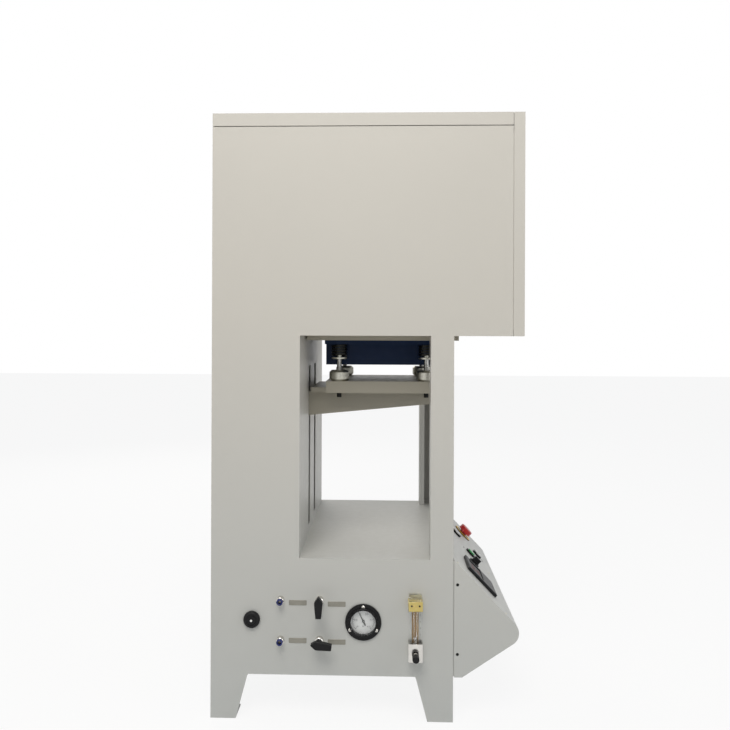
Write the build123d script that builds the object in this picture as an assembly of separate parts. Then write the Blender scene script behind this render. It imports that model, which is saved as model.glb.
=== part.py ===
from build123d import *

import os
from math import atan2, cos, hypot, radians, sin, tan

# Elevator furnace: a bottom-loading laboratory furnace with a screw-driven lift.
# The furnace chamber hangs in an overhanging upper housing. A cantilever lift runs in the rear
# column and carries a spring-floated hearth that closes the chamber from below. The gas panel is on
# the side that faces -Y, the sloped operator console faces +X, and +Z is up. Everything is modelled
# about the cabinet's mid-plane and moved at the end, so that the origin is on the floor at the
# centre of the bounding box. Units are millimetres.

# Sheet metal
sheet = 2.0
seam = 2.0
wrap = 26.0
return_flange = 20.0
lid_rest = 15.0
spigot_length = 16.0
fascia_seam = 1.0

# Vertical stack: feet, lower cabinet, loading bay, upper housing
foot_height = 105.0
cabinet_height = 275.0
bay_height = 525.0
plug_rise = 100.0
chamber_height = 200.0
roof_thickness = 120.0
terminal_space = 105.0
lid_skirt = 30.0

# Front-to-back stack: lift column, loading bay, front post, overhang
column_depth = 209.0
bay_depth = 309.0
post_depth = 54.0
overhang = 164.0
post_width = 50.0
post_lip = 15.0

# Furnace chamber and its insulation
chamber_width = 200.0
wall_thickness = 148.0
side_air_gap = 48.0
lift_offset = 195.0
plug_clearance = 5.0

deck_z = foot_height + cabinet_height
underside_z = deck_z + bay_height
chamber_floor_z = underside_z + plug_rise
chamber_roof_z = chamber_floor_z + chamber_height
overall_height = chamber_roof_z + roof_thickness + terminal_space
side_top_z = overall_height - lid_skirt - seam

case_half = chamber_width / 2 + wall_thickness + sheet
half_width = case_half + side_air_gap + sheet
inner_y = half_width - sheet
upper_depth = column_depth + bay_depth + post_depth + overhang
back_x = -upper_depth / 2
front_x = upper_depth / 2
bay_back_x = back_x + column_depth
post_back_x = bay_back_x + bay_depth
post_front_x = post_back_x + post_depth
side_front_x = front_x - wrap - fascia_seam
lift_x = bay_back_x + lift_offset

# Feet
foot_top = 88.0
foot_bottom = 60.0
foot_sheet = 3.0

# Base tray
tray_sheet = 3.0
tray_upstand = 40.0
deck_nosing = 40.0

# Furnace mouth and its seal
seal_flange_half = 190.0
seal_flange_thickness = 12.0
seal_ring_half = 130.0
seal_ring_width = 10.0
seal_ring_depth = 5.0
seat_gap = 0.3

# Heating elements: U rods that hang from the roof
element_offset = 78.0
element_pitch = 90.0
element_leg = 20.0
element_hot_radius = 3.0
element_cold_radius = 6.0
element_floor_gap = 22.0
element_cold_rise = 40.0
holder_height = 20.0
holder_depth = 26.0
shank_clearance = 0.25
shank_hole_clearance = 1.0
neck_rise = 10.0
holder_overhang = 15.0
holder_edge = 2.0

# Thermocouple in the roof's middle
sheath_radius = 4.0
sheath_clearance = 1.0
sheath_reach = 40.0
sheath_flange = 6.0
sheath_flange_radius = 16.0
sheath_head = 34.0
sheath_head_radius = 13.0

# Hearth pan, spring suspension and lift tray
pan_end_overhang = 3.0
pan_side_room = 5.0
hearth_pan_height = 64.0
hearth_sheet = 3.0
rim_thickness = 10.0
rim_edge = 21.0
hearth_plate_thickness = 10.0
hearth_plate_inset = 8.0
hearth_plate_corner = 6.0
socket_outer = 12.0
socket_depth = 26.0
socket_clearance = 0.5
stud_radius = 6.0
stud_pitch_x = 225.0
spring_side_gap = 4.0
spring_outer = 20.0
spring_wire = 5.0
spring_turns = 4.0
spring_seat_thickness = 4.0
spring_length = 34.0
hearth_float = 5.0
lift_tray_end = 33.0
lift_tray_edge = 21.0
lift_tray_height = 30.0
lift_tray_gap = 41.0
adjuster_radius = 25.0
adjuster_height = 28.0
adjuster_edge = 5.0
stud_fit = 0.05
stud_end_gap = 2.0
stud_tail = 12.0
lock_nut_flats = 18.0
lock_nut_height = 8.0

# Lift bracket: two tapered arms on a carriage plate
arm_y = 72.0
arm_width = 30.0
arm_sheet = 3.0
arm_root_depth = 64.0
arm_tip_depth = 33.0
arm_tip_offset = 321.0
tie_gap = 9.0
tie_height = 12.0
tie_half_y = 120.0
carriage_plate = 8.0
carriage_edge = 12.0
carriage_above = 72.0
carriage_below = 98.0
slot_width = 40.0
slot_bottom_margin = 23.0
slot_top_margin = 80.0
travel_margin = 6.0

# Lift drive
drive_offset = 91.0
shaft_radius = 10.0
shaft_y = 105.0
running_clearance = 0.06
bearing_depth = 56.0
bearing_width = 46.0
bearing_height = 58.0
bearing_inset = 6.0
bearing_edge = 6.0
screw_radius = 10.0
journal_radius = 7.0
journal_room = 1.0
nut_body_radius = 17.0
nut_flange_radius = 27.0
nut_flange = 8.0
nut_length = 40.0
nut_shelf = 10.0
nut_drop = 20.0
column_gap = 20.0
column_side_gap = 16.0
column_plate = 6.0
column_flange = 40.0
shelf_thickness = 12.0
shelf_reach = 90.0
shaft_end_room = 40.0
bearing_unit_radius = 24.0
bearing_unit_height = 14.0
coupling_radius = 20.0
coupling_length = 50.0
coupling_groove = 5.0
gearbox_size = 92.0
gearbox_corner = 8.0
motor_radius = 43.0
motor_length = 110.0
end_cap_length = 22.0
end_cap_step = 4.0
drive_shaft_radius = 7.0
drive_shaft_engagement = 20.0

# Power unit: transformer and finned power module
core_offset = 70.0
core_y = 60.0
core_length = 150.0
core_depth = 60.0
core_height = 130.0
core_limb = 26.0
coil_build = 14.0
sink_length = 117.0
sink_width = 100.0
sink_height = 70.0
sink_base = 12.0
fin_count = 7

# Gas panel, measured from the cabinet's rear edge and its bottom edge
gland_x = 98.0
gland_z = 130.0
fitting_x = 166.0
valve_x = 258.0
upper_row_z = 177.0
lower_row_z = 83.0
gauge_x = 361.0
gauge_z = 127.0
flowmeter_x = 483.0
flowmeter_z = 46.0
gland_radius = 19.5
gland_rise = 10.0
gland_thread = 12.5
gland_ring = 10.5
gland_groove = 1.5
gland_plug = 3.0
gland_tail = 16.0
gland_nut = 6.0
thread_clearance = 0.5
fitting_radius = 9.0
fitting_rise = 15.0
fitting_edge = 1.0
fitting_tail = 30.0
fitting_thread = 7.0
fitting_nut_flats = 19.0
fitting_nut = 7.0
tube_radius = 4.1
tube_stop = 8.0
collar_radius = 7.5
collar_rise = 6.0
collar_edge = 1.0
collar_travel = 1.5
collar_sleeve = 3.5
collar_sleeve_radius = 6.1
collar_bore = 4.5
valve_stem_radius = 5.0
valve_collar_radius = 10.0
valve_collar_rise = 14.0
valve_collar_edge = 1.5
valve_body_half = 14.0
valve_port_reach = 32.0
valve_port_radius = 8.0
handle_stand_off = 25.0
handle_engagement = 6.0
handle_thickness = 12.0
handle_tip = 19.0
handle_tail = 31.0
handle_nose = 6.0
handle_shoulder = 6.0
handle_half_width = 9.5
handle_tail_half = 6.5
handle_boss_radius = 8.0
handle_corner = 1.6
upper_handle_angle = 0.0
lower_handle_angle = 82.5
gauge_flange_radius = 42.5
gauge_flange_thickness = 4.0
gauge_bezel_radius = 34.0
gauge_bore_radius = 30.5
gauge_bezel_rise = 9.0
gauge_bezel_edge = 2.0
gauge_screw_circle = 36.0
gauge_screw_hole = 1.8
gauge_stem_length = 22.0
gauge_stem_radius = 7.0
gauge_case_radius = 33.0
gauge_case_depth = 30.0
gauge_dial_depth = 6.0
gauge_dial_thickness = 1.0
gauge_glass_thickness = 2.0
gauge_glass_recess = 1.0
spindle_length = 3.0
spindle_radius = 1.0
gauge_reading_angle = 27.0
needle_length = 24.0
needle_tail = 11.0
needle_hub = 3.0
needle_point = 0.4
needle_counterweight = 1.6
needle_thickness = 0.8
flow_width = 33.0
flow_depth = 28.0
flow_length = 150.0
flow_top_height = 33.0
flow_bottom_height = 42.0
flow_bore_low = 4.2
flow_bore_high = 5.4
flow_float_radius = 3.6
flow_float_height = 12.0
flow_float_rim = 4.0
flow_float_tip = 1.2
flow_edge = 2.5
flow_tube_inset = 1.0
flow_port_inset = 14.0
flow_port_length = 18.0
flow_knob_radius = 8.0
flow_knob_length = 16.0
flow_knob_z = 15.0
flow_knob_edge = 1.2
flow_boss_length = 6.0
flow_boss_radius = 6.0
flow_spindle_length = 8.0
flow_spindle_radius = 2.5
flute_count = 12
flute_radius = 0.9
flute_end = 4.0
flow_port_radius = 5.0

# Console
console_gap = 2.0
console_side_gap = 1.0
console_reach = 170.0
console_apex_rise = 100.0
console_sole = 19.0
console_radius = 30.0
console_lip = 14.0
face_margin = 8.0
controller_size = 96.0
controller_bezel = 8.0
controller_edge = 1.5
controller_body = 88.0
controller_depth = 60.0
display_rise = 17.0
display_width = 76.0
display_height = 42.0
display_recess = 2.0
controller_from_end = 109.0
switch_u = -85.0
heating_u = 0.0
lift_button_u = 88.0
lift_button_spread = 42.0
stop_from_end = 99.0
bezel_radius = 15.0
bezel_height = 5.0
cap_radius = 11.0
cap_clearance = 0.2
cap_rise = 3.0
button_travel = 4.0
barrel_radius = 12.5
barrel_depth = 34.0
cap_edge = 1.2
well_depth = 12.0
contact_size = 26.0
contact_depth = 18.0
stop_cap_radius = 20.0
stop_cap_height = 14.0
stop_cap_edge = 4.0
stop_collar_radius = 29.0
stop_collar_height = 2.0
stop_travel = 6.0
grip_width = 7.0
grip_length = 19.0
grip_height = 10.0

# Vents and fan
louvre_length = 110.0
louvre_pitch = 20.0
louvre_rise = 6.0
louvre_opening = 8.0
louvre_skin = 1.0
louvre_bank_z = 60.0
louvre_bank_y = 126.0
louvre_count = 7
lid_slot_length = 90.0
lid_slot_width = 9.0
lid_slot_pitch = 26.0
lid_slot_count = 6
fan_size = 120.0
fan_depth = 38.0
fan_bore = 57.0
fan_hub = 20.0
fan_shaft_radius = 3.0
fan_tip_gap = 3.0
fan_hole_inset = 7.5
fan_hole_radius = 2.2
strut_width = 7.0
strut_thickness = 6.0
rotor_middle = 16.0
rotor_depth = 24.0
blade_root_chord = 22.0
blade_root_pitch = 50.0
blade_tip_chord = 32.0
blade_tip_pitch = 30.0
blade_thickness = 2.0
fan_blades = 7
fan_drop = 70.0
fan_y = 90.0
grille_rings = (24.0, 36.0, 48.0)
grille_slot = 6.0
grille_rib = 10.0

# Levels that follow from the sizes above
hearth_top_z = underside_z - seal_flange_thickness - seat_gap
hearth_floor_z = hearth_top_z - hearth_pan_height
tray_top_z = hearth_floor_z - lift_tray_gap
arm_top_z = tray_top_z - lift_tray_height
arm_low_z = arm_top_z - arm_root_depth
nut_top_z = arm_top_z - nut_drop
lift_travel = arm_low_z - (deck_z + slot_bottom_margin + travel_margin)
drive_x = bay_back_x - drive_offset
carriage_x = drive_x + bearing_depth / 2
carriage_top_z = arm_top_z + carriage_above
carriage_low_z = arm_top_z - carriage_below
lower_shelf_z = carriage_low_z - lift_travel - shaft_end_room
upper_shelf_z = carriage_top_z + shaft_end_room
tray_floor_z = foot_height + tray_sheet
gearbox_top_z = tray_floor_z + gearbox_size
case_low_z = underside_z + sheet
case_top_z = chamber_roof_z + roof_thickness + sheet
stud_x = [lift_x - stud_pitch_x / 2, lift_x + stud_pitch_x / 2]
spring_top_z = hearth_top_z - rim_thickness
spring_low_z = spring_top_z - spring_length
panel_y = -half_width
hearth_half_y = chamber_width / 2 + pan_side_room
stud_y = hearth_half_y + spring_side_gap + spring_outer
rim_half_y = stud_y + rim_edge
lift_tray_half_x = stud_pitch_x / 2 + lift_tray_end
lift_tray_half_y = stud_y + lift_tray_edge
hearth_half_x = lift_tray_half_x + pan_end_overhang
bearing_side_y = shaft_y + bearing_width / 2
carriage_half_y = bearing_side_y + carriage_edge
column_half_y = bearing_side_y + column_side_gap + column_plate
stud_hole_radius = stud_radius + stud_fit
shaft_hole_radius = shaft_radius + stud_fit
shank_hole_radius = element_cold_radius + shank_hole_clearance
sheath_hole_radius = sheath_radius + sheath_clearance
seat_depth = fitting_rise - collar_sleeve - collar_travel - seat_gap


def block(x0, x1, y0, y1, z0, z1):
    """A box between two corners."""
    return Pos((x0 + x1) / 2, (y0 + y1) / 2, (z0 + z1) / 2) * Box(x1 - x0, y1 - y0, z1 - z0)


def column(x, y, z0, z1, radius):
    """An upright cylinder."""
    return Pos(x, y, (z0 + z1) / 2) * Cylinder(radius, z1 - z0)


def rod(x, z, y0, y1, radius):
    """A cylinder along Y."""
    return Pos(x, (y0 + y1) / 2, z) * Rot(90, 0, 0) * Cylinder(radius, y1 - y0)


def beam(y, z, x0, x1, radius):
    """A cylinder along X."""
    return Pos((x0 + x1) / 2, y, z) * Rot(0, 90, 0) * Cylinder(radius, x1 - x0)


def side_sheet(points, y0, y1):
    """An outline in the XZ plane, extruded from y0 to y1."""
    outline = Polyline([(x, y0, z) for x, z in points], close=True)
    return extrude(make_face(outline), amount=y1 - y0, dir=(0, 1, 0))


def square_ring(centre_x, outer, inner, z0, z1):
    """A square frame about the lift axis."""
    body = block(centre_x - outer, centre_x + outer, -outer, outer, z0, z1)
    return body - block(centre_x - inner, centre_x + inner, -inner, inner, z0 - 1, z1 + 1)


def louvre_hood():
    """One pressed louvre, its length along X, its mouth facing -Z, and its hood towards -Y."""
    high, skin = louvre_opening, louvre_skin
    profile = Polyline(
        [
            (0, 0, high + skin),
            (0, -louvre_rise, skin),
            (0, -louvre_rise, 0),
            (0, skin - louvre_rise, 0),
            (0, 0, high - skin),
        ],
        close=True,
    )
    hood = extrude(make_face(profile), amount=louvre_length, dir=(1, 0, 0))
    return Pos(-louvre_length / 2, 0, 0) * hood


def louvres(wall, place):
    """Cuts a column of louvres into a wall: place turns and moves one louvre onto its outer face."""
    for row in range(louvre_count):
        at = place * Pos(0, 0, row * louvre_pitch)
        mouth = Box(louvre_length - 2 * louvre_skin, sheet + 2, louvre_opening - louvre_skin)
        wall = wall - at * Pos(0, sheet / 2, louvre_opening / 2) * mouth
        wall = wall + at * louvre_hood()
    return wall


def feet():
    """Four tapered corner feet, each two sheets folded at the corner, with a sole and a top pad."""
    outline = [(0, 0), (foot_bottom, 0), (foot_top, foot_height), (0, foot_height)]
    along_x = side_sheet(outline, 0, foot_sheet)
    along_y = mirror(Rot(0, 0, 90) * along_x, about=Plane.YZ)
    sole = block(0, foot_bottom, 0, foot_bottom, 0, foot_sheet)
    pad = block(0, foot_top, 0, foot_top, foot_height - foot_sheet, foot_height)
    foot = along_x + along_y + sole + pad
    rear_near = Pos(back_x, panel_y, 0) * foot
    front_near = Pos(post_front_x, panel_y, 0) * mirror(foot, about=Plane.YZ)
    near = [rear_near, front_near]
    return near + [mirror(one, about=Plane.XZ) for one in near]


def base_tray():
    """The cabinet's floor, a pan that the side panels are screwed to."""
    low, high = foot_height, foot_height + tray_upstand
    x0, x1 = back_x + 2 * sheet, post_front_x
    pan = block(x0, x1, -inner_y, inner_y, low, high)
    half = inner_y - tray_sheet
    return pan - block(x0 + tray_sheet, x1 - tray_sheet, -half, half, tray_floor_z, high + 1)


def plain_side(flip):
    """A side panel for the +Y side, or for the -Y side if flip is set."""
    outline = [
        (back_x, foot_height),
        (post_front_x, foot_height),
        (post_front_x, underside_z),
        (side_front_x, underside_z),
        (side_front_x, side_top_z),
        (back_x, side_top_z),
    ]
    skin = side_sheet(outline, inner_y, half_width)
    skin = skin - block(bay_back_x, post_back_x, 0, half_width + 1, deck_z, underside_z)
    rest_y = inner_y - lid_rest
    x0 = back_x + 2 * sheet
    rear_return = block(
        back_x + sheet, x0, inner_y - return_flange, inner_y, foot_height + tray_upstand, side_top_z
    )
    shelf = block(x0, side_front_x, rest_y, inner_y, side_top_z - sheet, side_top_z)
    riser = block(x0, side_front_x, rest_y, rest_y + sheet, side_top_z, overall_height - sheet)
    post = block(post_back_x, post_front_x, half_width - post_width, inner_y, deck_z, underside_z)
    post_inside = block(
        post_back_x + sheet,
        post_front_x - sheet,
        half_width - post_width + sheet,
        inner_y,
        deck_z - 1,
        underside_z + 1,
    )
    post_slit = block(
        post_back_x + post_lip,
        post_front_x - post_lip,
        half_width - post_width - 1,
        half_width - post_width + sheet + 1,
        deck_z - 1,
        underside_z + 1,
    )
    panel = skin + rear_return + shelf + riser + (post - post_inside - post_slit)
    return mirror(panel, about=Plane.XZ) if flip else panel


def gas_side():
    """The gas side panel, with a hole for each fitting."""
    panel = plain_side(True)
    holes = [
        (gland_x, gland_z, gland_thread),
        (fitting_x, upper_row_z, fitting_thread),
        (fitting_x, lower_row_z, fitting_thread),
        (valve_x, upper_row_z, valve_stem_radius + thread_clearance),
        (valve_x, lower_row_z, valve_stem_radius + thread_clearance),
        (gauge_x, gauge_z, gauge_case_radius + thread_clearance),
        (flowmeter_x, flowmeter_z + flow_bottom_height - flow_port_inset, flow_port_radius),
        (flowmeter_x, flowmeter_z + flow_length - flow_port_inset, flow_port_radius),
    ]
    for x, z, radius in holes:
        panel = panel - rod(back_x + x, foot_height + z, panel_y - 1, -inner_y + 1, radius)
    return panel


def rear_panel():
    """The rear cover, with louvres low down and the fan's ring grille high up."""
    y = inner_y - seat_gap
    cover = block(back_x, back_x + sheet, -y, y, foot_height, side_top_z)
    for side in (-1, 1):
        place = Pos(back_x, side * louvre_bank_y, foot_height + louvre_bank_z) * Rot(0, 0, -90)
        cover = louvres(cover, place)
    grille = Pos(back_x, fan_y, side_top_z - fan_drop) * Rot(0, 90, 0)
    for ring in grille_rings:
        for quarter in range(4):
            arc = CenterArc((0, 0), ring, 90 * quarter + grille_rib, 90 - 2 * grille_rib)
            slot = extrude(SlotArc(arc, grille_slot), amount=2 * sheet, both=True)
            cover = cover - grille * slot
    return cover


def top_lid():
    """The lid over the element terminals: a shallow pan, upside down, with vent slots."""
    top = overall_height
    x0, x1 = back_x, side_front_x
    body = block(x0, x1, -half_width, half_width, top - lid_skirt, top)
    body = body - block(x0 + sheet, x1 + 1, -inner_y, inner_y, top - lid_skirt - 1, top - sheet)
    for side in (-1, 1):
        for row in range(lid_slot_count):
            x = lift_x + (row - (lid_slot_count - 1) / 2) * lid_slot_pitch
            outline = Rot(0, 0, 90) * SlotOverall(lid_slot_length, lid_slot_width)
            slot = extrude(outline, amount=3 * sheet)
            body = body - Pos(x, side * chamber_width / 2, top - 2 * sheet) * slot
    return body


def front_panel():
    """The upper housing's front fascia, wrapped round its four edges, with a spigot at each side."""
    outer = block(front_x - wrap, front_x, -half_width, half_width, underside_z, overall_height)
    inside = block(
        front_x - wrap - 1, front_x - sheet, -inner_y, inner_y, underside_z + sheet, overall_height - sheet
    )
    fascia = outer - inside
    for y in (-inner_y, inner_y - sheet):
        fascia = fascia + block(
            side_front_x - spigot_length,
            front_x - sheet,
            y,
            y + sheet,
            underside_z + spigot_length,
            side_top_z - spigot_length,
        )
    return fascia


def underside_plate():
    """The upper housing's floor, open at the chamber's mouth."""
    low, high = underside_z, underside_z + sheet
    plate = block(back_x + 2 * sheet, side_front_x, -inner_y, inner_y, low, high)
    mouth = chamber_width / 2
    return plate - block(lift_x - mouth, lift_x + mouth, -mouth, mouth, low - 1, high + 1)


def bay_liner():
    """The deck and the column's slotted front wall, folded from one sheet, with a front nosing."""
    x0, x1 = bay_back_x - sheet, post_front_x
    deck = block(x0, x1, -inner_y, inner_y, deck_z - sheet, deck_z)
    wall = block(x0, bay_back_x, -inner_y, inner_y, deck_z, underside_z)
    nosing = block(x1 - sheet, x1, -inner_y, inner_y, deck_z - deck_nosing, deck_z)
    z0, z1 = deck_z + slot_bottom_margin, underside_z - slot_top_margin
    liner = deck + wall + nosing
    for side in (-1, 1):
        y = side * arm_y
        slot = block(x0 - 1, bay_back_x + 1, y - slot_width / 2, y + slot_width / 2, z0, z1)
        liner = liner - slot
    return liner


def chamber_case():
    """The furnace's inner steel case, open at the mouth and drilled for the element shanks."""
    outer = block(lift_x - case_half, lift_x + case_half, -case_half, case_half, case_low_z, case_top_z)
    inner = case_half - sheet
    inside = block(
        lift_x - inner, lift_x + inner, -inner, inner, case_low_z + sheet, case_top_z - sheet
    )
    mouth = chamber_width / 2
    hole = block(lift_x - mouth, lift_x + mouth, -mouth, mouth, case_low_z - 1, case_low_z + sheet + 1)
    case = outer - inside - hole
    for x, y in shank_places():
        case = case - column(x, y, case_top_z - 2 * sheet, case_top_z + 1, shank_hole_radius)
    return case - column(lift_x, 0, case_top_z - 2 * sheet, case_top_z + 1, sheath_hole_radius)


def element_places():
    """The centre of each heating element: two rows, one by the front wall and one by the rear."""
    rows = (lift_x - element_offset, lift_x + element_offset)
    return [(x, side * element_pitch / 2) for x in rows for side in (-1, 1)]


def shank_places():
    """The centre of each element's two shanks."""
    return [(x, y + leg * element_leg) for x, y in element_places() for leg in (-1, 1)]


def chamber_fibre():
    """Ceramic fibre boards: front and rear, two between them, and the roof, drilled for the shanks."""
    low, high = case_low_z + sheet, chamber_roof_z
    inner, half = chamber_width / 2, case_half - sheet
    boards = []
    for side in (-1, 1):
        x0, x1 = sorted((lift_x + side * inner, lift_x + side * half))
        boards.append(block(x0, x1, -half, half, low, high))
        y0, y1 = sorted((side * inner, side * half))
        boards.append(block(lift_x - inner, lift_x + inner, y0, y1, low, high))
    roof = block(lift_x - half, lift_x + half, -half, half, high, case_top_z - sheet)
    for x, y in shank_places():
        roof = roof - column(x, y, high - 1, case_top_z, shank_hole_radius)
    roof = roof - column(lift_x, 0, high - 1, case_top_z, sheath_hole_radius)
    return boards + [roof]


def heating_elements():
    """U-shaped rods: thin hot legs joined by a bend, and thick shanks through the roof."""
    elements = []
    for x, y in element_places():
        low = chamber_floor_z + element_floor_gap + element_leg
        neck = chamber_roof_z + neck_rise
        top = case_top_z + element_cold_rise
        first, last = y - element_leg, y + element_leg
        down = Line((x, first, neck), (x, first, low))
        bend = ThreePointArc((x, first, low), (x, y, low - element_leg), (x, last, low))
        up = Line((x, last, low), (x, last, neck))
        start = Plane((x, first, neck), x_dir=(1, 0, 0), z_dir=(0, 0, -1))
        rods = sweep(start * Circle(element_hot_radius), path=Wire([down, bend, up]))
        for leg in (-1, 1):
            rods = rods + column(x, y + leg * element_leg, neck, top, element_cold_radius)
        elements.append(rods)
    return elements


def element_holders():
    """Clamp blocks on the case's top, one for each element."""
    holders = []
    depth, length = holder_depth / 2, element_leg + holder_overhang
    top = case_top_z + holder_height
    for x, y in element_places():
        body = block(x - depth, x + depth, y - length, y + length, case_top_z, top)
        body = chamfer(body.edges().group_by(Axis.Z)[-1].filter_by(Axis.Y), holder_edge)
        for leg in (-1, 1):
            shank = element_cold_radius + shank_clearance
            body = body - column(x, y + leg * element_leg, case_top_z - 1, top + 1, shank)
        holders.append(body)
    return holders


def thermocouple():
    """A ceramic sheath through the roof, its flange on the case, and its terminal head."""
    flange_top = case_top_z + sheath_flange
    sheath = column(lift_x, 0, chamber_roof_z - sheath_reach, case_top_z, sheath_radius)
    flange = column(lift_x, 0, case_top_z, flange_top, sheath_flange_radius)
    head = column(lift_x, 0, flange_top, flange_top + sheath_head, sheath_head_radius)
    return sheath + flange + head


def seal_flange():
    """The furnace's bottom flange, with a groove for the seal."""
    low, high = underside_z - seal_flange_thickness, underside_z
    flange = square_ring(lift_x, seal_flange_half, chamber_width / 2, low, high)
    inner = seal_ring_half - seal_ring_width
    return flange - square_ring(lift_x, seal_ring_half, inner, low - 1, low + seal_ring_depth)


def seal_ring():
    """The square silicone seal in the flange's groove."""
    low = underside_z - seal_flange_thickness
    inner = seal_ring_half - seal_ring_width
    return square_ring(lift_x, seal_ring_half, inner, low, low + seal_ring_depth)


def hearth_box():
    """The hearth's steel pan, with a rim plate over the springs and a guide socket at each stud."""
    x0, x1 = lift_x - hearth_half_x, lift_x + hearth_half_x
    pan = block(x0, x1, -hearth_half_y, hearth_half_y, hearth_floor_z, spring_top_z)
    inside = block(
        x0 + hearth_sheet,
        x1 - hearth_sheet,
        -hearth_half_y + hearth_sheet,
        hearth_half_y - hearth_sheet,
        hearth_floor_z + hearth_sheet,
        spring_top_z + 1,
    )
    mouth = chamber_width / 2 - plug_clearance + seat_gap
    rim = block(x0, x1, -rim_half_y, rim_half_y, spring_top_z, hearth_top_z)
    rim = rim - block(lift_x - mouth, lift_x + mouth, -mouth, mouth, spring_top_z - 1, hearth_top_z + 1)
    body = (pan - inside) + rim
    for x in stud_x:
        for side in (-1, 1):
            socket = column(x, side * stud_y, spring_top_z - socket_depth, spring_top_z, socket_outer)
            bore_radius = stud_radius + socket_clearance
            bore = column(x, side * stud_y, spring_top_z - socket_depth - 1, spring_top_z, bore_radius)
            body = body + (socket - bore)
    return body


def hearth_fibre():
    """The hearth's insulation: a slab in the pan, and a plug that fills the chamber's mouth."""
    inner_x, inner_y_half = hearth_half_x - hearth_sheet, hearth_half_y - hearth_sheet
    slab = block(
        lift_x - inner_x,
        lift_x + inner_x,
        -inner_y_half,
        inner_y_half,
        hearth_floor_z + hearth_sheet,
        spring_top_z,
    )
    plug = chamber_width / 2 - plug_clearance
    top = chamber_floor_z - hearth_plate_thickness
    return slab + block(lift_x - plug, lift_x + plug, -plug, plug, spring_top_z, top)


def hearth_plate():
    """The alumina setter plate that the work stands on."""
    half = chamber_width / 2 - plug_clearance - hearth_plate_inset
    low = chamber_floor_z - hearth_plate_thickness
    plate = block(lift_x - half, lift_x + half, -half, half, low, chamber_floor_z)
    return fillet(plate.edges().filter_by(Axis.Z), hearth_plate_corner)


def lift_tray():
    """The lift's tray, a pan upside down, drilled for the spring studs."""
    x0, x1 = lift_x - lift_tray_half_x, lift_x + lift_tray_half_x
    body = block(x0, x1, -lift_tray_half_y, lift_tray_half_y, arm_top_z, tray_top_z)
    inside = block(
        x0 + hearth_sheet,
        x1 - hearth_sheet,
        -lift_tray_half_y + hearth_sheet,
        lift_tray_half_y - hearth_sheet,
        arm_top_z - 1,
        tray_top_z - hearth_sheet,
    )
    body = body - inside
    for x in stud_x:
        for side in (-1, 1):
            low, high = tray_top_z - 2 * hearth_sheet, tray_top_z + 1
            body = body - column(x, side * stud_y, low, high, stud_hole_radius)
    for side in (-1, 1):
        for offset_y in (-arm_width / 2, arm_width / 2 - hearth_sheet):
            y = side * arm_y + offset_y
            body = body + block(
                x0 + hearth_sheet,
                x1 - hearth_sheet,
                y,
                y + hearth_sheet,
                arm_top_z,
                tray_top_z - hearth_sheet,
            )
    return body


def spring_studs():
    """Studs through the tray, each with the collar that its spring stands on."""
    studs = []
    for x in stud_x:
        for side in (-1, 1):
            y = side * stud_y
            top = spring_top_z - hearth_float - stud_end_gap
            stud = column(x, y, arm_top_z - stud_tail, top, stud_radius)
            seat = column(x, y, spring_low_z - spring_seat_thickness, spring_low_z, spring_outer)
            studs.append(stud + seat)
    return studs


def adjuster_nuts():
    """Round hand nuts on the tray that set the hearth's height, and hexagon lock nuts below it."""
    nuts = []
    for x in stud_x:
        for side in (-1, 1):
            y = side * stud_y
            top = tray_top_z + adjuster_height
            wheel = column(x, y, tray_top_z, top, adjuster_radius)
            wheel = chamfer(wheel.edges().filter_by(GeomType.CIRCLE), adjuster_edge)
            nuts.append(wheel - column(x, y, tray_top_z - 1, top + 1, stud_hole_radius))
            high = tray_top_z - hearth_sheet
            low = high - lock_nut_height
            hexagon = RegularPolygon(lock_nut_flats / 2, 6, major_radius=False)
            lock = Pos(x, y, low) * extrude(hexagon, lock_nut_height)
            nuts.append(lock - column(x, y, low - 1, high + 1, stud_hole_radius))
    return nuts


def seal_springs():
    """Four square-wire springs between the studs' collars and the hearth's rim."""
    mean = spring_outer - spring_wire / 2
    rise = spring_length - spring_wire - 2 * seat_gap
    pitch = rise / spring_turns
    path = Helix(pitch, rise, mean)
    section = Plane(path @ 0, x_dir=(1, 0, 0), z_dir=path % 0) * Rectangle(spring_wire, spring_wire)
    coil = sweep(section, path=path, is_frenet=True)
    low = spring_low_z + seat_gap + spring_wire / 2
    return [Pos(x, side * stud_y, low) * coil for x in stud_x for side in (-1, 1)]


def lift_arm(side):
    """One tapered arm, a channel open below, from the carriage plate to the tray's front."""
    root_x = carriage_x + carriage_plate
    wall_x = bay_back_x
    tip_x = bay_back_x + arm_tip_offset
    slope = (arm_root_depth - arm_tip_depth) / (tip_x - wall_x)
    outline = [
        (root_x, arm_top_z),
        (tip_x, arm_top_z),
        (tip_x, arm_top_z - arm_tip_depth),
        (wall_x, arm_low_z),
        (root_x, arm_low_z),
    ]
    inner = [
        (root_x + arm_sheet, arm_top_z - arm_sheet),
        (tip_x - arm_sheet, arm_top_z - arm_sheet),
        (tip_x - arm_sheet, arm_top_z - arm_tip_depth - 1 - slope * arm_sheet),
        (wall_x, arm_low_z - 1),
        (root_x + arm_sheet, arm_low_z - 1),
    ]
    y0, y1 = sorted((side * (arm_y - arm_width / 2), side * (arm_y + arm_width / 2)))
    return side_sheet(outline, y0, y1) - side_sheet(inner, y0 + arm_sheet, y1 - arm_sheet)


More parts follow.
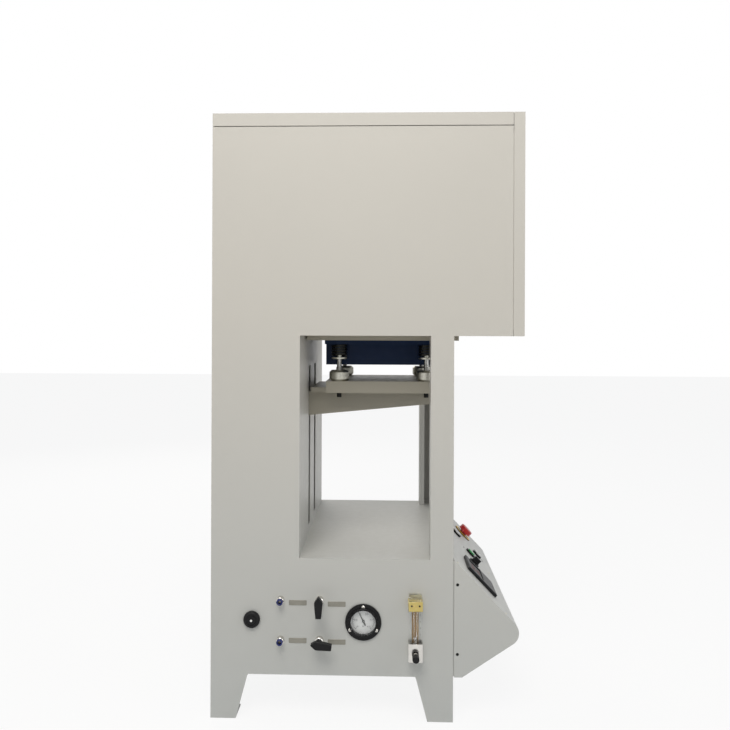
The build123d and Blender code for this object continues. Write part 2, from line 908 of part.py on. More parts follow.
def lift_bracket():
    """The welded bracket: carriage plate, two arms, the tie between them and the nut's shelf."""
    x0, x1 = carriage_x, carriage_x + carriage_plate
    plate = block(x0, x1, -carriage_half_y, carriage_half_y, carriage_low_z, carriage_top_z)
    tie_back = bay_back_x + tie_gap
    tie_front = lift_x - lift_tray_half_x - seat_gap
    tie = block(tie_back, tie_front, -tie_half_y, tie_half_y, arm_top_z, arm_top_z + tie_height)
    half = nut_flange_radius
    low, high = nut_top_z - nut_shelf, nut_top_z
    shelf = block(drive_x - half, x0, -half, half, low, high)
    shelf = shelf - column(drive_x, 0, low - 1, high + 1, nut_body_radius + stud_fit)
    return plate + lift_arm(-1) + lift_arm(1) + tie + shelf


def linear_bearings():
    """Four bearing blocks on the carriage plate, two on each guide shaft."""
    blocks = []
    for side in (-1, 1):
        for low in (carriage_low_z + bearing_inset, carriage_top_z - bearing_height - bearing_inset):
            y = side * shaft_y
            body = block(
                carriage_x - bearing_depth,
                carriage_x,
                y - bearing_width / 2,
                y + bearing_width / 2,
                low,
                low + bearing_height,
            )
            body = chamfer(body.edges().filter_by(Axis.Z).group_by(Axis.X)[0], bearing_edge)
            bore = column(drive_x, y, low - 1, low + bearing_height + 1, shaft_radius + running_clearance)
            blocks.append(body - bore)
    return blocks


def lift_nut():
    """The flanged bronze nut that hangs in the bracket's shelf."""
    flange_top = nut_top_z + nut_flange
    body = column(drive_x, 0, flange_top - nut_length, nut_top_z, nut_body_radius)
    flange = column(drive_x, 0, nut_top_z, flange_top, nut_flange_radius)
    bore = column(drive_x, 0, flange_top - nut_length - 1, flange_top + 1, screw_radius + running_clearance)
    return body + flange - bore


def lift_column():
    """A channel from the base tray to the upper housing, with a shelf at each end of the drive."""
    front = drive_x - bearing_depth / 2 - column_gap
    x0, x1 = front - column_plate, front
    web = block(x0, x1, -column_half_y, column_half_y, tray_floor_z, underside_z)
    body = web
    for side in (-1, 1):
        y0, y1 = sorted((side * column_half_y, side * (column_half_y - column_plate)))
        body = body + block(x0, x0 + column_flange, y0, y1, tray_floor_z, underside_z)
    for low in (lower_shelf_z - shelf_thickness, upper_shelf_z):
        high = low + shelf_thickness
        shelf = block(x1, x1 + shelf_reach, -column_half_y, column_half_y, low, high)
        for side in (-1, 1):
            shelf = shelf - column(drive_x, side * shaft_y, low - 1, high + 1, shaft_hole_radius)
        body = body + (shelf - column(drive_x, 0, low - 1, high + 1, journal_radius + journal_room))
    return body


def guide_shafts():
    """Two hardened guide shafts, held in the shelves."""
    low, high = lower_shelf_z - shelf_thickness, upper_shelf_z + shelf_thickness
    return [column(drive_x, side * shaft_y, low, high, shaft_radius) for side in (-1, 1)]


def screw_bearings():
    """Flanged bearing units, on the lower shelf and under the upper one."""
    units = []
    for low in (lower_shelf_z, upper_shelf_z - bearing_unit_height):
        high = low + bearing_unit_height
        unit = column(drive_x, 0, low, high, bearing_unit_radius)
        units.append(unit - column(drive_x, 0, low - 1, high + 1, journal_radius + running_clearance))
    return units


def lead_screw():
    """The lift's screw, plain where its thread runs, with a journal at each end."""
    low, high = lower_shelf_z + bearing_unit_height + 1, upper_shelf_z - bearing_unit_height - 1
    thread = column(drive_x, 0, low, high, screw_radius)
    lower = column(drive_x, 0, coupling_middle() + 1, low, journal_radius)
    upper = column(drive_x, 0, high, upper_shelf_z + shelf_thickness, journal_radius)
    return thread + lower + upper


def coupling_middle():
    """Half-way between the gearbox and the lower shelf."""
    return (gearbox_top_z + lower_shelf_z - shelf_thickness) / 2


def motor_coupling():
    """The coupling on the screw's lower journal, with the gearbox's output shaft below it."""
    middle = coupling_middle()
    low, high = middle - coupling_length / 2, middle + coupling_length / 2
    body = column(drive_x, 0, low, high, coupling_radius)
    body = body - column(drive_x, 0, middle, high + 1, journal_radius + stud_fit)
    groove = column(drive_x, 0, middle - 2 * coupling_groove, middle - coupling_groove, coupling_radius + 1)
    neck = column(drive_x, 0, middle - 3 * coupling_groove, middle, coupling_radius - coupling_groove)
    body = body - (groove - neck)
    return body + column(drive_x, 0, gearbox_top_z - drive_shaft_engagement, low, drive_shaft_radius)


def gear_motor():
    """The right-angle gear motor on the base tray: gearbox, motor barrel and its end cap."""
    half = gearbox_size / 2
    box = block(drive_x - half, drive_x + half, -half, half, tray_floor_z, gearbox_top_z)
    box = chamfer(box.edges().filter_by(Axis.Z), gearbox_corner)
    socket = gearbox_top_z - drive_shaft_engagement - seat_gap
    box = box - column(drive_x, 0, socket, gearbox_top_z + 1, drive_shaft_radius + running_clearance)
    z = tray_floor_z + half
    front = drive_x + half
    barrel_end = front + motor_length
    barrel = beam(0, z, front, barrel_end, motor_radius)
    cap = beam(0, z, barrel_end, barrel_end + end_cap_length, motor_radius - end_cap_step)
    return box + barrel + cap


def power_unit():
    """The transformer's core and two coils, and the finned power module beside it."""
    x0, z0 = bay_back_x + core_offset, tray_floor_z
    middle = x0 + core_length / 2
    y0, y1 = core_y, core_y + core_depth
    low, high = z0 + core_limb, z0 + core_height - core_limb
    core = block(x0, x0 + core_length, y0, y1, z0, z0 + core_height)
    window = (core_length - 3 * core_limb) / 2
    for side in (-1, 1):
        x = middle + side * (core_limb + window) / 2
        core = core - block(x - window / 2, x + window / 2, y0 - 1, y1 + 1, low, high)
    reach = core_length / 2 - core_limb - seat_gap
    hole = core_limb / 2 + seat_gap
    coil = block(
        middle - reach, middle + reach, y0 - coil_build, y1 + coil_build, low + seat_gap, high - seat_gap
    )
    coil = fillet(coil.edges().filter_by(Axis.Z), coil_build / 2)
    coil = coil - block(middle - hole, middle + hole, y0 - seat_gap, y1 + seat_gap, low - 1, high + 1)
    sink_y = -core_y - sink_width
    sink = block(x0, x0 + sink_length, sink_y, -core_y, z0, z0 + sink_height)
    pitch = sink_length / (2 * fin_count - 1)
    for gap in range(fin_count - 1):
        x = x0 + pitch * (2 * gap + 1)
        sink = sink - block(x, x + pitch, sink_y - 1, 1 - core_y, z0 + sink_base, z0 + sink_height + 1)
    return [core, coil, sink]


def fan_frame():
    """The rear fan's square frame, with its hub on three struts."""
    half = fan_size / 2
    middle = fan_depth - strut_thickness / 2
    body = Pos(0, 0, fan_depth / 2) * Box(fan_size, fan_size, fan_depth)
    body = body - Pos(0, 0, fan_depth / 2) * Cylinder(fan_bore, fan_depth + 2)
    for arm in range(3):
        strut = Pos(fan_bore / 2, 0, middle) * Box(fan_bore + 2, strut_width, strut_thickness)
        body = body + Rot(0, 0, 120 * arm) * strut
    body = body + Pos(0, 0, middle) * Cylinder(fan_hub, strut_thickness)
    body = body - Pos(0, 0, middle) * Cylinder(fan_shaft_radius + running_clearance, strut_thickness + 2)
    inset = half - fan_hole_inset
    for x in (-inset, inset):
        for y in (-inset, inset):
            body = body - Pos(x, y, fan_depth / 2) * Cylinder(fan_hole_radius, fan_depth + 2)
    return fan_place() * body


def fan_place():
    """Turns the fan's axis to +X and sets its back on the rear cover."""
    return Pos(back_x + sheet, fan_y, side_top_z - fan_drop) * Rot(0, 90, 0)


def fan_rotor():
    """The fan's rotor: a hub, twisted blades and the shaft that runs in the frame."""
    rotor = Pos(0, 0, rotor_middle) * Cylinder(fan_hub, rotor_depth)
    blade = loft(
        [
            blade_section(fan_hub - 2, blade_root_chord, blade_root_pitch),
            blade_section(fan_bore - fan_tip_gap, blade_tip_chord, blade_tip_pitch),
        ]
    )
    for turn in range(fan_blades):
        rotor = rotor + Rot(0, 0, 360 / fan_blades * turn) * blade
    shaft = Pos(0, 0, (rotor_middle + fan_depth) / 2) * Cylinder(fan_shaft_radius, fan_depth - rotor_middle)
    return fan_place() * (rotor + shaft)


def blade_section(radius, chord, pitch):
    """A blade's flat section at a radius, turned by its pitch."""
    at = Plane(origin=(radius, 0, rotor_middle), x_dir=(0, 1, 0), z_dir=(1, 0, 0))
    return at * Rot(0, 0, pitch) * Rectangle(chord, blade_thickness)


def supply_gland():
    """The round cable gland, with its blanking plug."""
    x, z = back_x + gland_x, foot_height + gland_z
    face = panel_y - gland_rise
    dome = rod(x, z, face, panel_y, gland_radius)
    dome = fillet(dome.edges().group_by(Axis.Y)[0], gland_rise / 2)
    groove = rod(x, z, face - 1, face + gland_groove, gland_ring + gland_groove)
    groove = groove - rod(x, z, face - 2, face + 2 * gland_groove, gland_ring)
    plug = rod(x, z, face - gland_groove, face, gland_plug)
    thread = rod(x, z, panel_y, panel_y + gland_tail, gland_thread - thread_clearance)
    nut = rod(x, z, -inner_y, -inner_y + gland_nut, gland_radius)
    return dome - groove + plug + thread + nut


def gas_fittings():
    """Two bulkhead push-in fittings: body in front of the panel, thread and nut behind it."""
    fittings = []
    for row in (upper_row_z, lower_row_z):
        x, z = back_x + fitting_x, foot_height + row
        front = rod(x, z, panel_y - fitting_rise, panel_y, fitting_radius)
        front = chamfer(front.edges().group_by(Axis.Y)[0], fitting_edge)
        tail = rod(x, z, panel_y, panel_y + fitting_tail, fitting_thread - thread_clearance)
        hexagon = RegularPolygon(fitting_nut_flats / 2, 6, major_radius=False)
        nut = Pos(x, -inner_y, z) * Rot(-90, 0, 0) * extrude(hexagon, fitting_nut)
        mouth = panel_y - fitting_rise - 1
        seat = rod(x, z, mouth, panel_y - seat_depth, collar_sleeve_radius + running_clearance)
        bore = rod(x, z, mouth, panel_y + tube_stop, tube_radius)
        fittings.append(front + tail + nut - seat - bore)
    return fittings


def fitting_collar(row):
    """A push-in fitting's release collar, which slides in to free the tube."""
    x, z = back_x + fitting_x, foot_height + row
    face = panel_y - fitting_rise
    head = rod(x, z, face - collar_rise, face - collar_travel - seat_gap, collar_radius)
    head = chamfer(head.edges().group_by(Axis.Y)[0], collar_edge)
    sleeve = rod(x, z, face - collar_travel - seat_gap, face + collar_sleeve, collar_sleeve_radius)
    bore = rod(x, z, face - collar_rise - 1, face + collar_sleeve + 1, collar_bore)
    return head + sleeve - bore


def valve_bodies():
    """Two ball valves behind the panel, with a panel collar and a stem in front."""
    valves = []
    for row in (upper_row_z, lower_row_z):
        x, z = back_x + valve_x, foot_height + row
        body = block(
            x - valve_body_half,
            x + valve_body_half,
            -inner_y,
            -inner_y + 2 * valve_body_half,
            z - valve_body_half,
            z + valve_body_half,
        )
        reach = valve_port_reach
        ports = beam(-inner_y + valve_body_half, z, x - reach, x + reach, valve_port_radius)
        collar = rod(x, z, panel_y - valve_collar_rise, panel_y, valve_collar_radius)
        collar = chamfer(collar.edges().group_by(Axis.Y)[0], valve_collar_edge)
        stem = rod(x, z, panel_y - handle_stand_off - handle_engagement, -inner_y, valve_stem_radius)
        valves.append(body + ports + collar + stem)
    return valves


def valve_handle(row, angle):
    """A pointer handle: pointed tip, widest near its pivot and tapered to a square tail."""
    x, z = back_x + valve_x, foot_height + row
    half = [
        (0, handle_tip),
        (handle_half_width / 2, handle_tip - handle_nose),
        (handle_half_width, handle_shoulder),
        (handle_half_width, 0),
        (handle_tail_half, -handle_tail),
    ]
    other = [(-x_at, y_at) for x_at, y_at in reversed(half[1:])]
    outline = Polyline(half + other, close=True)
    face = make_face(outline)
    face = fillet(face.vertices(), handle_corner)
    lever = Pos(0, 0, handle_stand_off) * extrude(face, handle_thickness)
    lever = chamfer(lever.edges().group_by(Axis.Z)[-1], handle_corner / 2)
    boss_low = valve_collar_rise + seat_gap
    boss_high = handle_stand_off + 1
    boss = Cylinder(handle_boss_radius, boss_high - boss_low)
    lever = lever + Pos(0, 0, (boss_low + boss_high) / 2) * boss
    pocket_high = handle_stand_off + handle_engagement + seat_gap
    pocket = Cylinder(valve_stem_radius + running_clearance, pocket_high - boss_low + 1)
    lever = lever - Pos(0, 0, (boss_low - 1 + pocket_high) / 2) * pocket
    return Pos(x, panel_y, z) * Rot(90, 0, 0) * Rot(0, 0, angle) * lever


def gauge_case():
    """The gauge's black flange and bezel in front, and its case and stem behind the panel."""
    x, z = back_x + gauge_x, foot_height + gauge_z
    flange = rod(x, z, panel_y - gauge_flange_thickness, panel_y, gauge_flange_radius)
    bezel = rod(x, z, panel_y - gauge_bezel_rise, panel_y - gauge_flange_thickness, gauge_bezel_radius)
    bezel = chamfer(bezel.edges().group_by(Axis.Y)[0], gauge_bezel_edge)
    case_back = panel_y + gauge_case_depth
    case = rod(x, z, panel_y, case_back, gauge_case_radius)
    stem = rod(x, z, case_back, case_back + gauge_stem_length, gauge_stem_radius)
    well = rod(x, z, panel_y - gauge_bezel_rise - 1, panel_y + gauge_dial_depth, gauge_bore_radius)
    body = flange + bezel + case + stem - well
    for screw in range(3):
        angle = radians(90 + 120 * screw)
        screw_x = x + gauge_screw_circle * cos(angle)
        screw_z = z + gauge_screw_circle * sin(angle)
        body = body - rod(screw_x, screw_z, panel_y - gauge_bezel_rise - 1, panel_y + 1, gauge_screw_hole)
    return body


def gauge_dial():
    """The gauge's dial plate, with the spindle that the needle turns on."""
    x, z = back_x + gauge_x, foot_height + gauge_z
    back = panel_y + gauge_dial_depth
    front = back - gauge_dial_thickness
    plate = rod(x, z, front, back, gauge_bore_radius)
    return plate + rod(x, z, front - spindle_length, front, spindle_radius)


def gauge_needle():
    """The needle: a long taper, a hub and a counterweight, at its reading in the photograph."""
    x, z = back_x + gauge_x, foot_height + gauge_z
    outline = Polyline(
        (-needle_point, needle_length),
        (needle_point, needle_length),
        (needle_counterweight, -needle_tail),
        (-needle_counterweight, -needle_tail),
        close=True,
    )
    blade = extrude(make_face(outline), needle_thickness)
    hub = Cylinder(needle_hub, 2 * needle_thickness)
    needle = blade + hub - Cylinder(spindle_radius + running_clearance, 2 * spindle_length)
    y = panel_y + gauge_dial_depth - gauge_dial_thickness - needle_thickness - seat_gap
    return Pos(x, y, z) * Rot(90, 0, 0) * Rot(0, 0, gauge_reading_angle) * needle


def gauge_glass():
    """The gauge's window, seated in the bezel."""
    x, z = back_x + gauge_x, foot_height + gauge_z
    front = panel_y - gauge_bezel_rise + gauge_glass_recess
    return rod(x, z, front, front + gauge_glass_thickness, gauge_bore_radius)


def flow_block(z0, z1, port_z):
    """An end block of the flow meter, bored for gas, with its port through the panel."""
    x = back_x + flowmeter_x
    front = panel_y - flow_depth
    body = block(x - flow_width / 2, x + flow_width / 2, front, panel_y, z0, z1)
    body = chamfer(body.edges().filter_by(Axis.Z).group_by(Axis.Y)[0], flow_edge)
    return body + rod(x, port_z, panel_y, panel_y + flow_port_length, flow_port_radius - thread_clearance)


def flowmeter_top_block():
    """The flow meter's upper block and outlet."""
    high = foot_height + flowmeter_z + flow_length
    return flow_block(high - flow_top_height, high, high - flow_port_inset)


def flowmeter_bottom_block():
    """The flow meter's lower block and inlet, with the needle valve's boss."""
    low = foot_height + flowmeter_z
    x = back_x + flowmeter_x
    body = flow_block(low, low + flow_bottom_height, low + flow_bottom_height - flow_port_inset)
    front = panel_y - flow_depth
    z = low + flow_knob_z
    boss_front = front - flow_boss_length
    boss = rod(x, z, boss_front, front, flow_boss_radius)
    spindle = rod(x, z, boss_front - flow_spindle_length, boss_front, flow_spindle_radius)
    return body + boss + spindle


def flowmeter_tube():
    """The clear metering column, with its tapered bore."""
    x = back_x + flowmeter_x
    low = foot_height + flowmeter_z + flow_bottom_height
    high = foot_height + flowmeter_z + flow_length - flow_top_height
    y = panel_y - flow_depth / 2
    half, inset = flow_width / 2 - flow_tube_inset, flow_tube_inset
    body = block(x - half, x + half, panel_y - flow_depth + inset, panel_y - inset, low, high)
    bore = Pos(x, y, (low + high) / 2) * Cone(flow_bore_low, flow_bore_high, high - low)
    return body - bore


def flow_float():
    """The float, at the bottom of the metering bore while no gas flows."""
    x, y = back_x + flowmeter_x, panel_y - flow_depth / 2
    low = foot_height + flowmeter_z + flow_bottom_height + seat_gap
    cone_height = flow_float_height - flow_float_rim
    cone = Cone(flow_float_tip, flow_float_radius - flow_float_tip / 2, cone_height)
    rim = column(x, y, low + cone_height, low + flow_float_height, flow_float_radius)
    return rim + Pos(x, y, low + cone_height / 2) * cone


def flow_knob():
    """The needle valve's ribbed knob."""
    x, z = back_x + flowmeter_x, foot_height + flowmeter_z + flow_knob_z
    boss_front = panel_y - flow_depth - flow_boss_length
    back_face = boss_front - seat_gap
    knob = rod(x, z, back_face - flow_knob_length, back_face, flow_knob_radius)
    knob = chamfer(knob.edges().group_by(Axis.Y)[0], flow_knob_edge)
    knob_front = back_face - flow_knob_length - 1
    for flute in range(flute_count):
        angle = radians(360 / flute_count * flute)
        flute_x = x + flow_knob_radius * cos(angle)
        flute_z = z + flow_knob_radius * sin(angle)
        knob = knob - rod(flute_x, flute_z, knob_front, back_face - flute_end, flute_radius)
    bore = boss_front - flow_spindle_length - seat_gap
    return knob - rod(x, z, bore, back_face + 1, flow_spindle_radius + running_clearance)


# Console geometry: its side profile runs from the deck's edge to a rounded apex and back under
console_back = post_front_x + console_gap
apex = (post_front_x + console_reach, foot_height + console_apex_rise)
slope_run = apex[0] - console_back
slope_drop = deck_z - apex[1]
slope_length = hypot(slope_run, slope_drop)
under_run = slope_run - console_sole
apex_half_angle = (atan2(slope_drop, slope_run) + atan2(console_apex_rise, under_run)) / 2
normal = (slope_drop / slope_length, 0, slope_run / slope_length)
console_half = half_width - console_side_gap
controller_u = controller_from_end - console_half
stop_u = console_half - stop_from_end
face_plane = Plane(origin=(console_back, 0, deck_z), x_dir=(0, 1, 0), z_dir=normal)
face_length = slope_length - console_radius / tan(apex_half_angle) - 2 * face_margin
controls_v = face_margin + face_length / 2


def console_profile(inset, y0, y1):
    """The console's side profile, moved in by inset, as a solid from y0 to y1."""
    sole_x = console_back + console_sole
    corners = [(console_back, deck_z), apex, (sole_x, foot_height), (console_back, foot_height)]
    face = make_face(Polyline([(x, 0, z) for x, z in corners], close=True))
    apex_vertex = face.vertices().sort_by(Axis.X)[-1]
    face = fillet([apex_vertex], console_radius)
    if inset:
        face = offset(face, amount=-inset, kind=Kind.INTERSECTION)
    solid = extrude(face, amount=y1 - y0, dir=(0, 1, 0))
    return Pos(0, y0, 0) * solid


def console_housing():
    """Cheeks, underside and nose of the console, open to the cabinet and under the face plate."""
    body = console_profile(0, -console_half, console_half)
    body = body - console_profile(sheet, -console_half + sheet, console_half - sheet)
    inner = console_half - sheet
    window = inner - console_lip
    low, high = foot_height + console_lip, deck_z - 2 * console_lip
    rear_open = block(console_back - 1, console_back + sheet + 1, -window, window, low, high)
    top_open = face_box(0, controls_v, 2 * sheet + 1, 2 * inner, face_length, -2 * sheet)
    frame = block(post_front_x, console_back, -inner, inner, foot_height + sheet, deck_z - 2 * sheet)
    frame = frame - block(post_front_x - 1, console_back + 1, -window, window, low, high)
    return body - rear_open - top_open + frame


def face_box(u, v, height, size_u, size_v, low):
    """A box on the console's face: u across, v down the slope, from low above the face."""
    return face_plane * Pos(u, -v, low + height / 2) * Box(size_u, size_v, height)


def face_disc(u, v, low, high, radius):
    """A cylinder square to the console's face, between two heights above it."""
    return face_plane * Pos(u, -v, (low + high) / 2) * Cylinder(radius, high - low)


def control_places():
    """Where each round control sits on the face: name to (u, v)."""
    return {
        "power_switch": (switch_u, controls_v),
        "heating_button": (heating_u, controls_v),
        "up_button": (lift_button_u, controls_v - lift_button_spread),
        "down_button": (lift_button_u, controls_v + lift_button_spread),
        "emergency_stop": (stop_u, controls_v),
    }


def console_face():
    """The sloped face plate, cut for the controller and drilled for the controls."""
    width = 2 * (console_half - sheet - seat_gap)
    plate = face_box(0, controls_v, sheet, width, face_length - 2 * seat_gap, -sheet)
    cut_out = controller_body + 2 * seat_gap
    plate = plate - face_box(controller_u, controls_v, 2 * sheet, cut_out, cut_out, -1.5 * sheet)
    for u, v in control_places().values():
        plate = plate - face_disc(u, v, -sheet - 1, 1, barrel_radius + seat_gap)
    for side in (-1, 1):
        u = side * (width - sheet) / 2
        length = face_length - 4 * console_lip
        plate = plate + face_box(u, controls_v, console_lip, sheet, length, -sheet - console_lip)
    return plate


def temperature_controller():
    """The panel controller: bezel, recessed display and body behind the face."""
    bezel = face_box(controller_u, controls_v, controller_bezel, controller_size, controller_size, 0)
    outer = bezel.faces().filter_by(lambda face: face.normal_at().dot(Vector(*normal)) > 0.99)
    bezel = chamfer(outer.edges(), controller_edge)
    window = face_box(
        controller_u,
        controls_v - display_rise,
        display_recess + 1,
        display_width,
        display_height,
        controller_bezel - display_recess,
    )
    body = face_box(
        controller_u, controls_v, controller_depth, controller_body, controller_body, -controller_depth
    )
    return bezel + body - window


def switch_bodies():
    """The fixed part of each round control: bezel ring in front, barrel and contacts behind."""
    bodies = []
    for name, (u, v) in control_places().items():
        radius = stop_collar_radius if name == "emergency_stop" else bezel_radius
        height = stop_collar_height if name == "emergency_stop" else bezel_height
        ring = face_disc(u, v, 0, height, radius)
        barrel = face_disc(u, v, -barrel_depth, 0, barrel_radius)
        well = face_disc(u, v, -well_depth, bezel_height + 1, cap_radius + cap_clearance)
        contacts = face_box(u, v, contact_depth, contact_size, contact_size, -barrel_depth - contact_depth)
        bodies.append(ring + barrel + contacts - well)
    return bodies


def push_button(name):
    """A round push button in its bezel."""
    u, v = control_places()[name]
    cap = face_disc(u, v, button_travel + seat_gap - well_depth, bezel_height + cap_rise, cap_radius)
    top = cap.faces().filter_by(lambda face: face.normal_at().dot(Vector(*normal)) > 0.99)
    return fillet(top.edges(), cap_edge)


def emergency_stop():
    """The mushroom stop button on its stem."""
    u, v = control_places()["emergency_stop"]
    low = stop_collar_height + stop_travel + seat_gap
    stem = face_disc(u, v, stop_travel + seat_gap - well_depth, low, cap_radius)
    head = face_disc(u, v, low, low + stop_cap_height, stop_cap_radius)
    top = head.faces().filter_by(lambda face: face.normal_at().dot(Vector(*normal)) > 0.99)
    return stem + fillet(top.edges(), stop_cap_edge)


def power_switch():
    """The rotary power switch: a disc with a raised grip bar."""
    u, v = control_places()["power_switch"]
    top = bezel_height + cap_rise
    disc = face_disc(u, v, seat_gap - well_depth, top, cap_radius)
    grip = face_box(u, v, grip_height, grip_width, grip_length, top)
    return disc + grip


def parts():
    """Every node and its solids, before the move to the footprint's centre."""
    return {
        "feet": feet(),
        "base_tray": base_tray(),
        "gas_side_panel": gas_side(),
        "plain_side_panel": plain_side(False),
        "rear_panel": rear_panel(),
        "top_lid": top_lid(),
        "front_panel": front_panel(),
        "underside_plate": underside_plate(),
        "bay_liner": bay_liner(),
        "chamber_case": chamber_case(),
        "chamber_fibre": chamber_fibre(),
        "heating_elements": heating_elements(),
        "element_holders": element_holders(),
        "thermocouple": thermocouple(),
        "seal_flange": seal_flange(),
        "seal_ring": seal_ring(),
        "hearth_box": hearth_box(),
        "hearth_fibre": hearth_fibre(),
        "hearth_plate": hearth_plate(),
        "lift_tray": lift_tray(),
        "spring_studs": spring_studs(),
        "adjuster_nuts": adjuster_nuts(),
        "seal_springs": seal_springs(),
        "lift_bracket": lift_bracket(),
        "linear_bearings": linear_bearings(),
        "lift_nut": lift_nut(),
        "lift_column": lift_column(),
        "guide_shafts": guide_shafts(),
        "screw_bearings": screw_bearings(),
        "lead_screw": lead_screw(),
        "motor_coupling": motor_coupling(),
        "gear_motor": gear_motor(),
        "power_unit": power_unit(),
        "fan_frame": fan_frame(),
        "fan_rotor": fan_rotor(),
        "supply_gland": supply_gland(),
        "gas_fittings": gas_fittings(),
        "upper_collar": fitting_collar(upper_row_z),
        "lower_collar": fitting_collar(lower_row_z),
        "valve_bodies": valve_bodies(),
        "upper_valve_handle": valve_handle(upper_row_z, upper_handle_angle),
        "lower_valve_handle": valve_handle(lower_row_z, lower_handle_angle),
        "gauge_case": gauge_case(),
        "gauge_dial": gauge_dial(),
        "gauge_needle": gauge_needle(),
        "gauge_glass": gauge_glass(),
        "flowmeter_top_block": flowmeter_top_block(),
        "flowmeter_bottom_block": flowmeter_bottom_block(),
        "flowmeter_tube": flowmeter_tube(),
        "flow_float": flow_float(),
        "flow_knob": flow_knob(),
        "console_housing": console_housing(),
        "console_face": console_face(),
        "temperature_controller": temperature_controller(),
        "switch_bodies": switch_bodies(),
        "power_switch": power_switch(),
        "heating_button": push_button("heating_button"),
        "up_button": push_button("up_button"),
        "down_button": push_button("down_button"),
        "emergency_stop": emergency_stop(),
    }


# The flow meter's knob and the rear louvres reach furthest out of the cabinet's own box
near_reach = flow_depth + flow_boss_length + seat_gap + flow_knob_length
origin_shift = (louvre_rise / 2, near_reach / 2, 0)


def main():
    os.makedirs("parts", exist_ok=True)
    for name, shape in parts().items():
        solids = shape if isinstance(shape, list) else [shape]
        moved = [Pos(*origin_shift) * one for one in solids]
        node = moved[0] if len(moved) == 1 else Compound(children=moved)
        export_step(node, f"parts/{name}.step")
        print(name, len(node.solids()), round(node.volume))


if __name__ == "__main__":
    main()
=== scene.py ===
# %% [markdown]
# This lesson dresses an elevator furnace: a bottom-loading laboratory furnace whose hearth rides up
# on a screw lift. The engineering model already holds every panel, shaft and spring at its real size,
# so it is loaded first as a fixed frame. Blender then adds finishes, and the fine pieces that an
# engineering model leaves out: threads, knurls, screws, graduations and lettering.

# %% The fixed frame
from math import cos, radians, sin

import bmesh
import bpy
import numpy as np
from mathutils import Matrix, Vector


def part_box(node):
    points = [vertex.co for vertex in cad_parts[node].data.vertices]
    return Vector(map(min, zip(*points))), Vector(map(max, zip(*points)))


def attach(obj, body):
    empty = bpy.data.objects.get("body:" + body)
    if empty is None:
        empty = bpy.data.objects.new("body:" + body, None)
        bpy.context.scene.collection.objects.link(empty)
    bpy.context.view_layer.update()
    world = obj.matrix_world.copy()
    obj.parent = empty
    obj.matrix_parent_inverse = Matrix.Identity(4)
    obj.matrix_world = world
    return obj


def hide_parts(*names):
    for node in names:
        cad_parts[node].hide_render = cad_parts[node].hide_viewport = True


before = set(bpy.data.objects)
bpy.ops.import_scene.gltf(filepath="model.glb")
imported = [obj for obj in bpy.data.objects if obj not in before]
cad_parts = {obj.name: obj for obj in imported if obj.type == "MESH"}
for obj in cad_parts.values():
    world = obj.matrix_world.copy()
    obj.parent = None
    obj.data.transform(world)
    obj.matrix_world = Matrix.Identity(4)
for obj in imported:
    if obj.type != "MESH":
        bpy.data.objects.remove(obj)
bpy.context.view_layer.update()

MM = 0.001
print("nodes in the frame:", len(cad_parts))

# %% [markdown]
# A finish starts from one Principled shader. Real surfaces are never one flat colour: powder coat
# has a fine peel, turned metal carries fine marks, and the powder coats carry painted shade low down.
# Each helper below adds one such trait, read at the object's own coordinates, so that the pattern
# stays on the metal when the lift moves. Numbers that are the same all over sit on the shader itself.

# %% Helpers for finishes
finishes = {}


def finish(name, colour, roughness, metallic=0.0):
    """A new material with a Principled shader, kept under its name."""
    material = bpy.data.materials.new(name)
    material.use_nodes = True
    shader = material.node_tree.nodes["Principled BSDF"]
    shader.inputs["Base Color"].default_value = (*colour, 1.0)
    shader.inputs["Roughness"].default_value = roughness
    shader.inputs["Metallic"].default_value = metallic
    finishes[name] = material
    return material


def node(material, kind):
    """A new node in the material's tree."""
    return material.node_tree.nodes.new(kind)


def link(material, start, end):
    """A wire from one socket to another."""
    material.node_tree.links.new(start, end)


def shader_of(material):
    """The material's Principled shader."""
    return material.node_tree.nodes["Principled BSDF"]


print("a finish is kept under its own name")

# %% [markdown]
# Wear and grain come from patterns that are worked out from a point's place, so that no picture is
# stretched over the metal. Soft noise gives blotches and streaks, and crystals give zinc its flakes.
# A ramp then carries the part of a pattern that matters to the range that the shader needs.

# %% Patterns
def place(material, stretch=(1.0, 1.0, 1.0)):
    """The object's own coordinates in metres, stretched along its axes where marks run one way."""
    spot = node(material, "ShaderNodeTexCoord")
    mapping = node(material, "ShaderNodeMapping")
    mapping.inputs["Scale"].default_value = stretch
    link(material, spot.outputs["Object"], mapping.inputs["Vector"])
    return mapping.outputs["Vector"]


def noise(material, scale, detail=4.0, stretch=(1.0, 1.0, 1.0)):
    """Soft random blotches, scale of them to a metre."""
    blotches = node(material, "ShaderNodeTexNoise")
    blotches.inputs["Scale"].default_value = scale
    blotches.inputs["Detail"].default_value = detail
    link(material, place(material, stretch), blotches.inputs["Vector"])
    return blotches.outputs["Fac"]


def cells(material, scale):
    """Random crystals with straight borders, scale of them to a metre."""
    crystals = node(material, "ShaderNodeTexVoronoi")
    crystals.inputs["Scale"].default_value = scale
    link(material, place(material), crystals.inputs["Vector"])
    return crystals.outputs["Color"]


def remap(material, value, low, high, start=0.3, stop=0.7):
    """A value between start and stop, carried in proportion to between low and high."""
    ramp = node(material, "ShaderNodeMapRange")
    ramp.inputs["From Min"].default_value = start
    ramp.inputs["From Max"].default_value = stop
    ramp.inputs["To Min"].default_value = low
    ramp.inputs["To Max"].default_value = high
    link(material, value, ramp.inputs["Value"])
    return ramp.outputs["Result"]


print("patterns: blotches, crystals and a ramp")
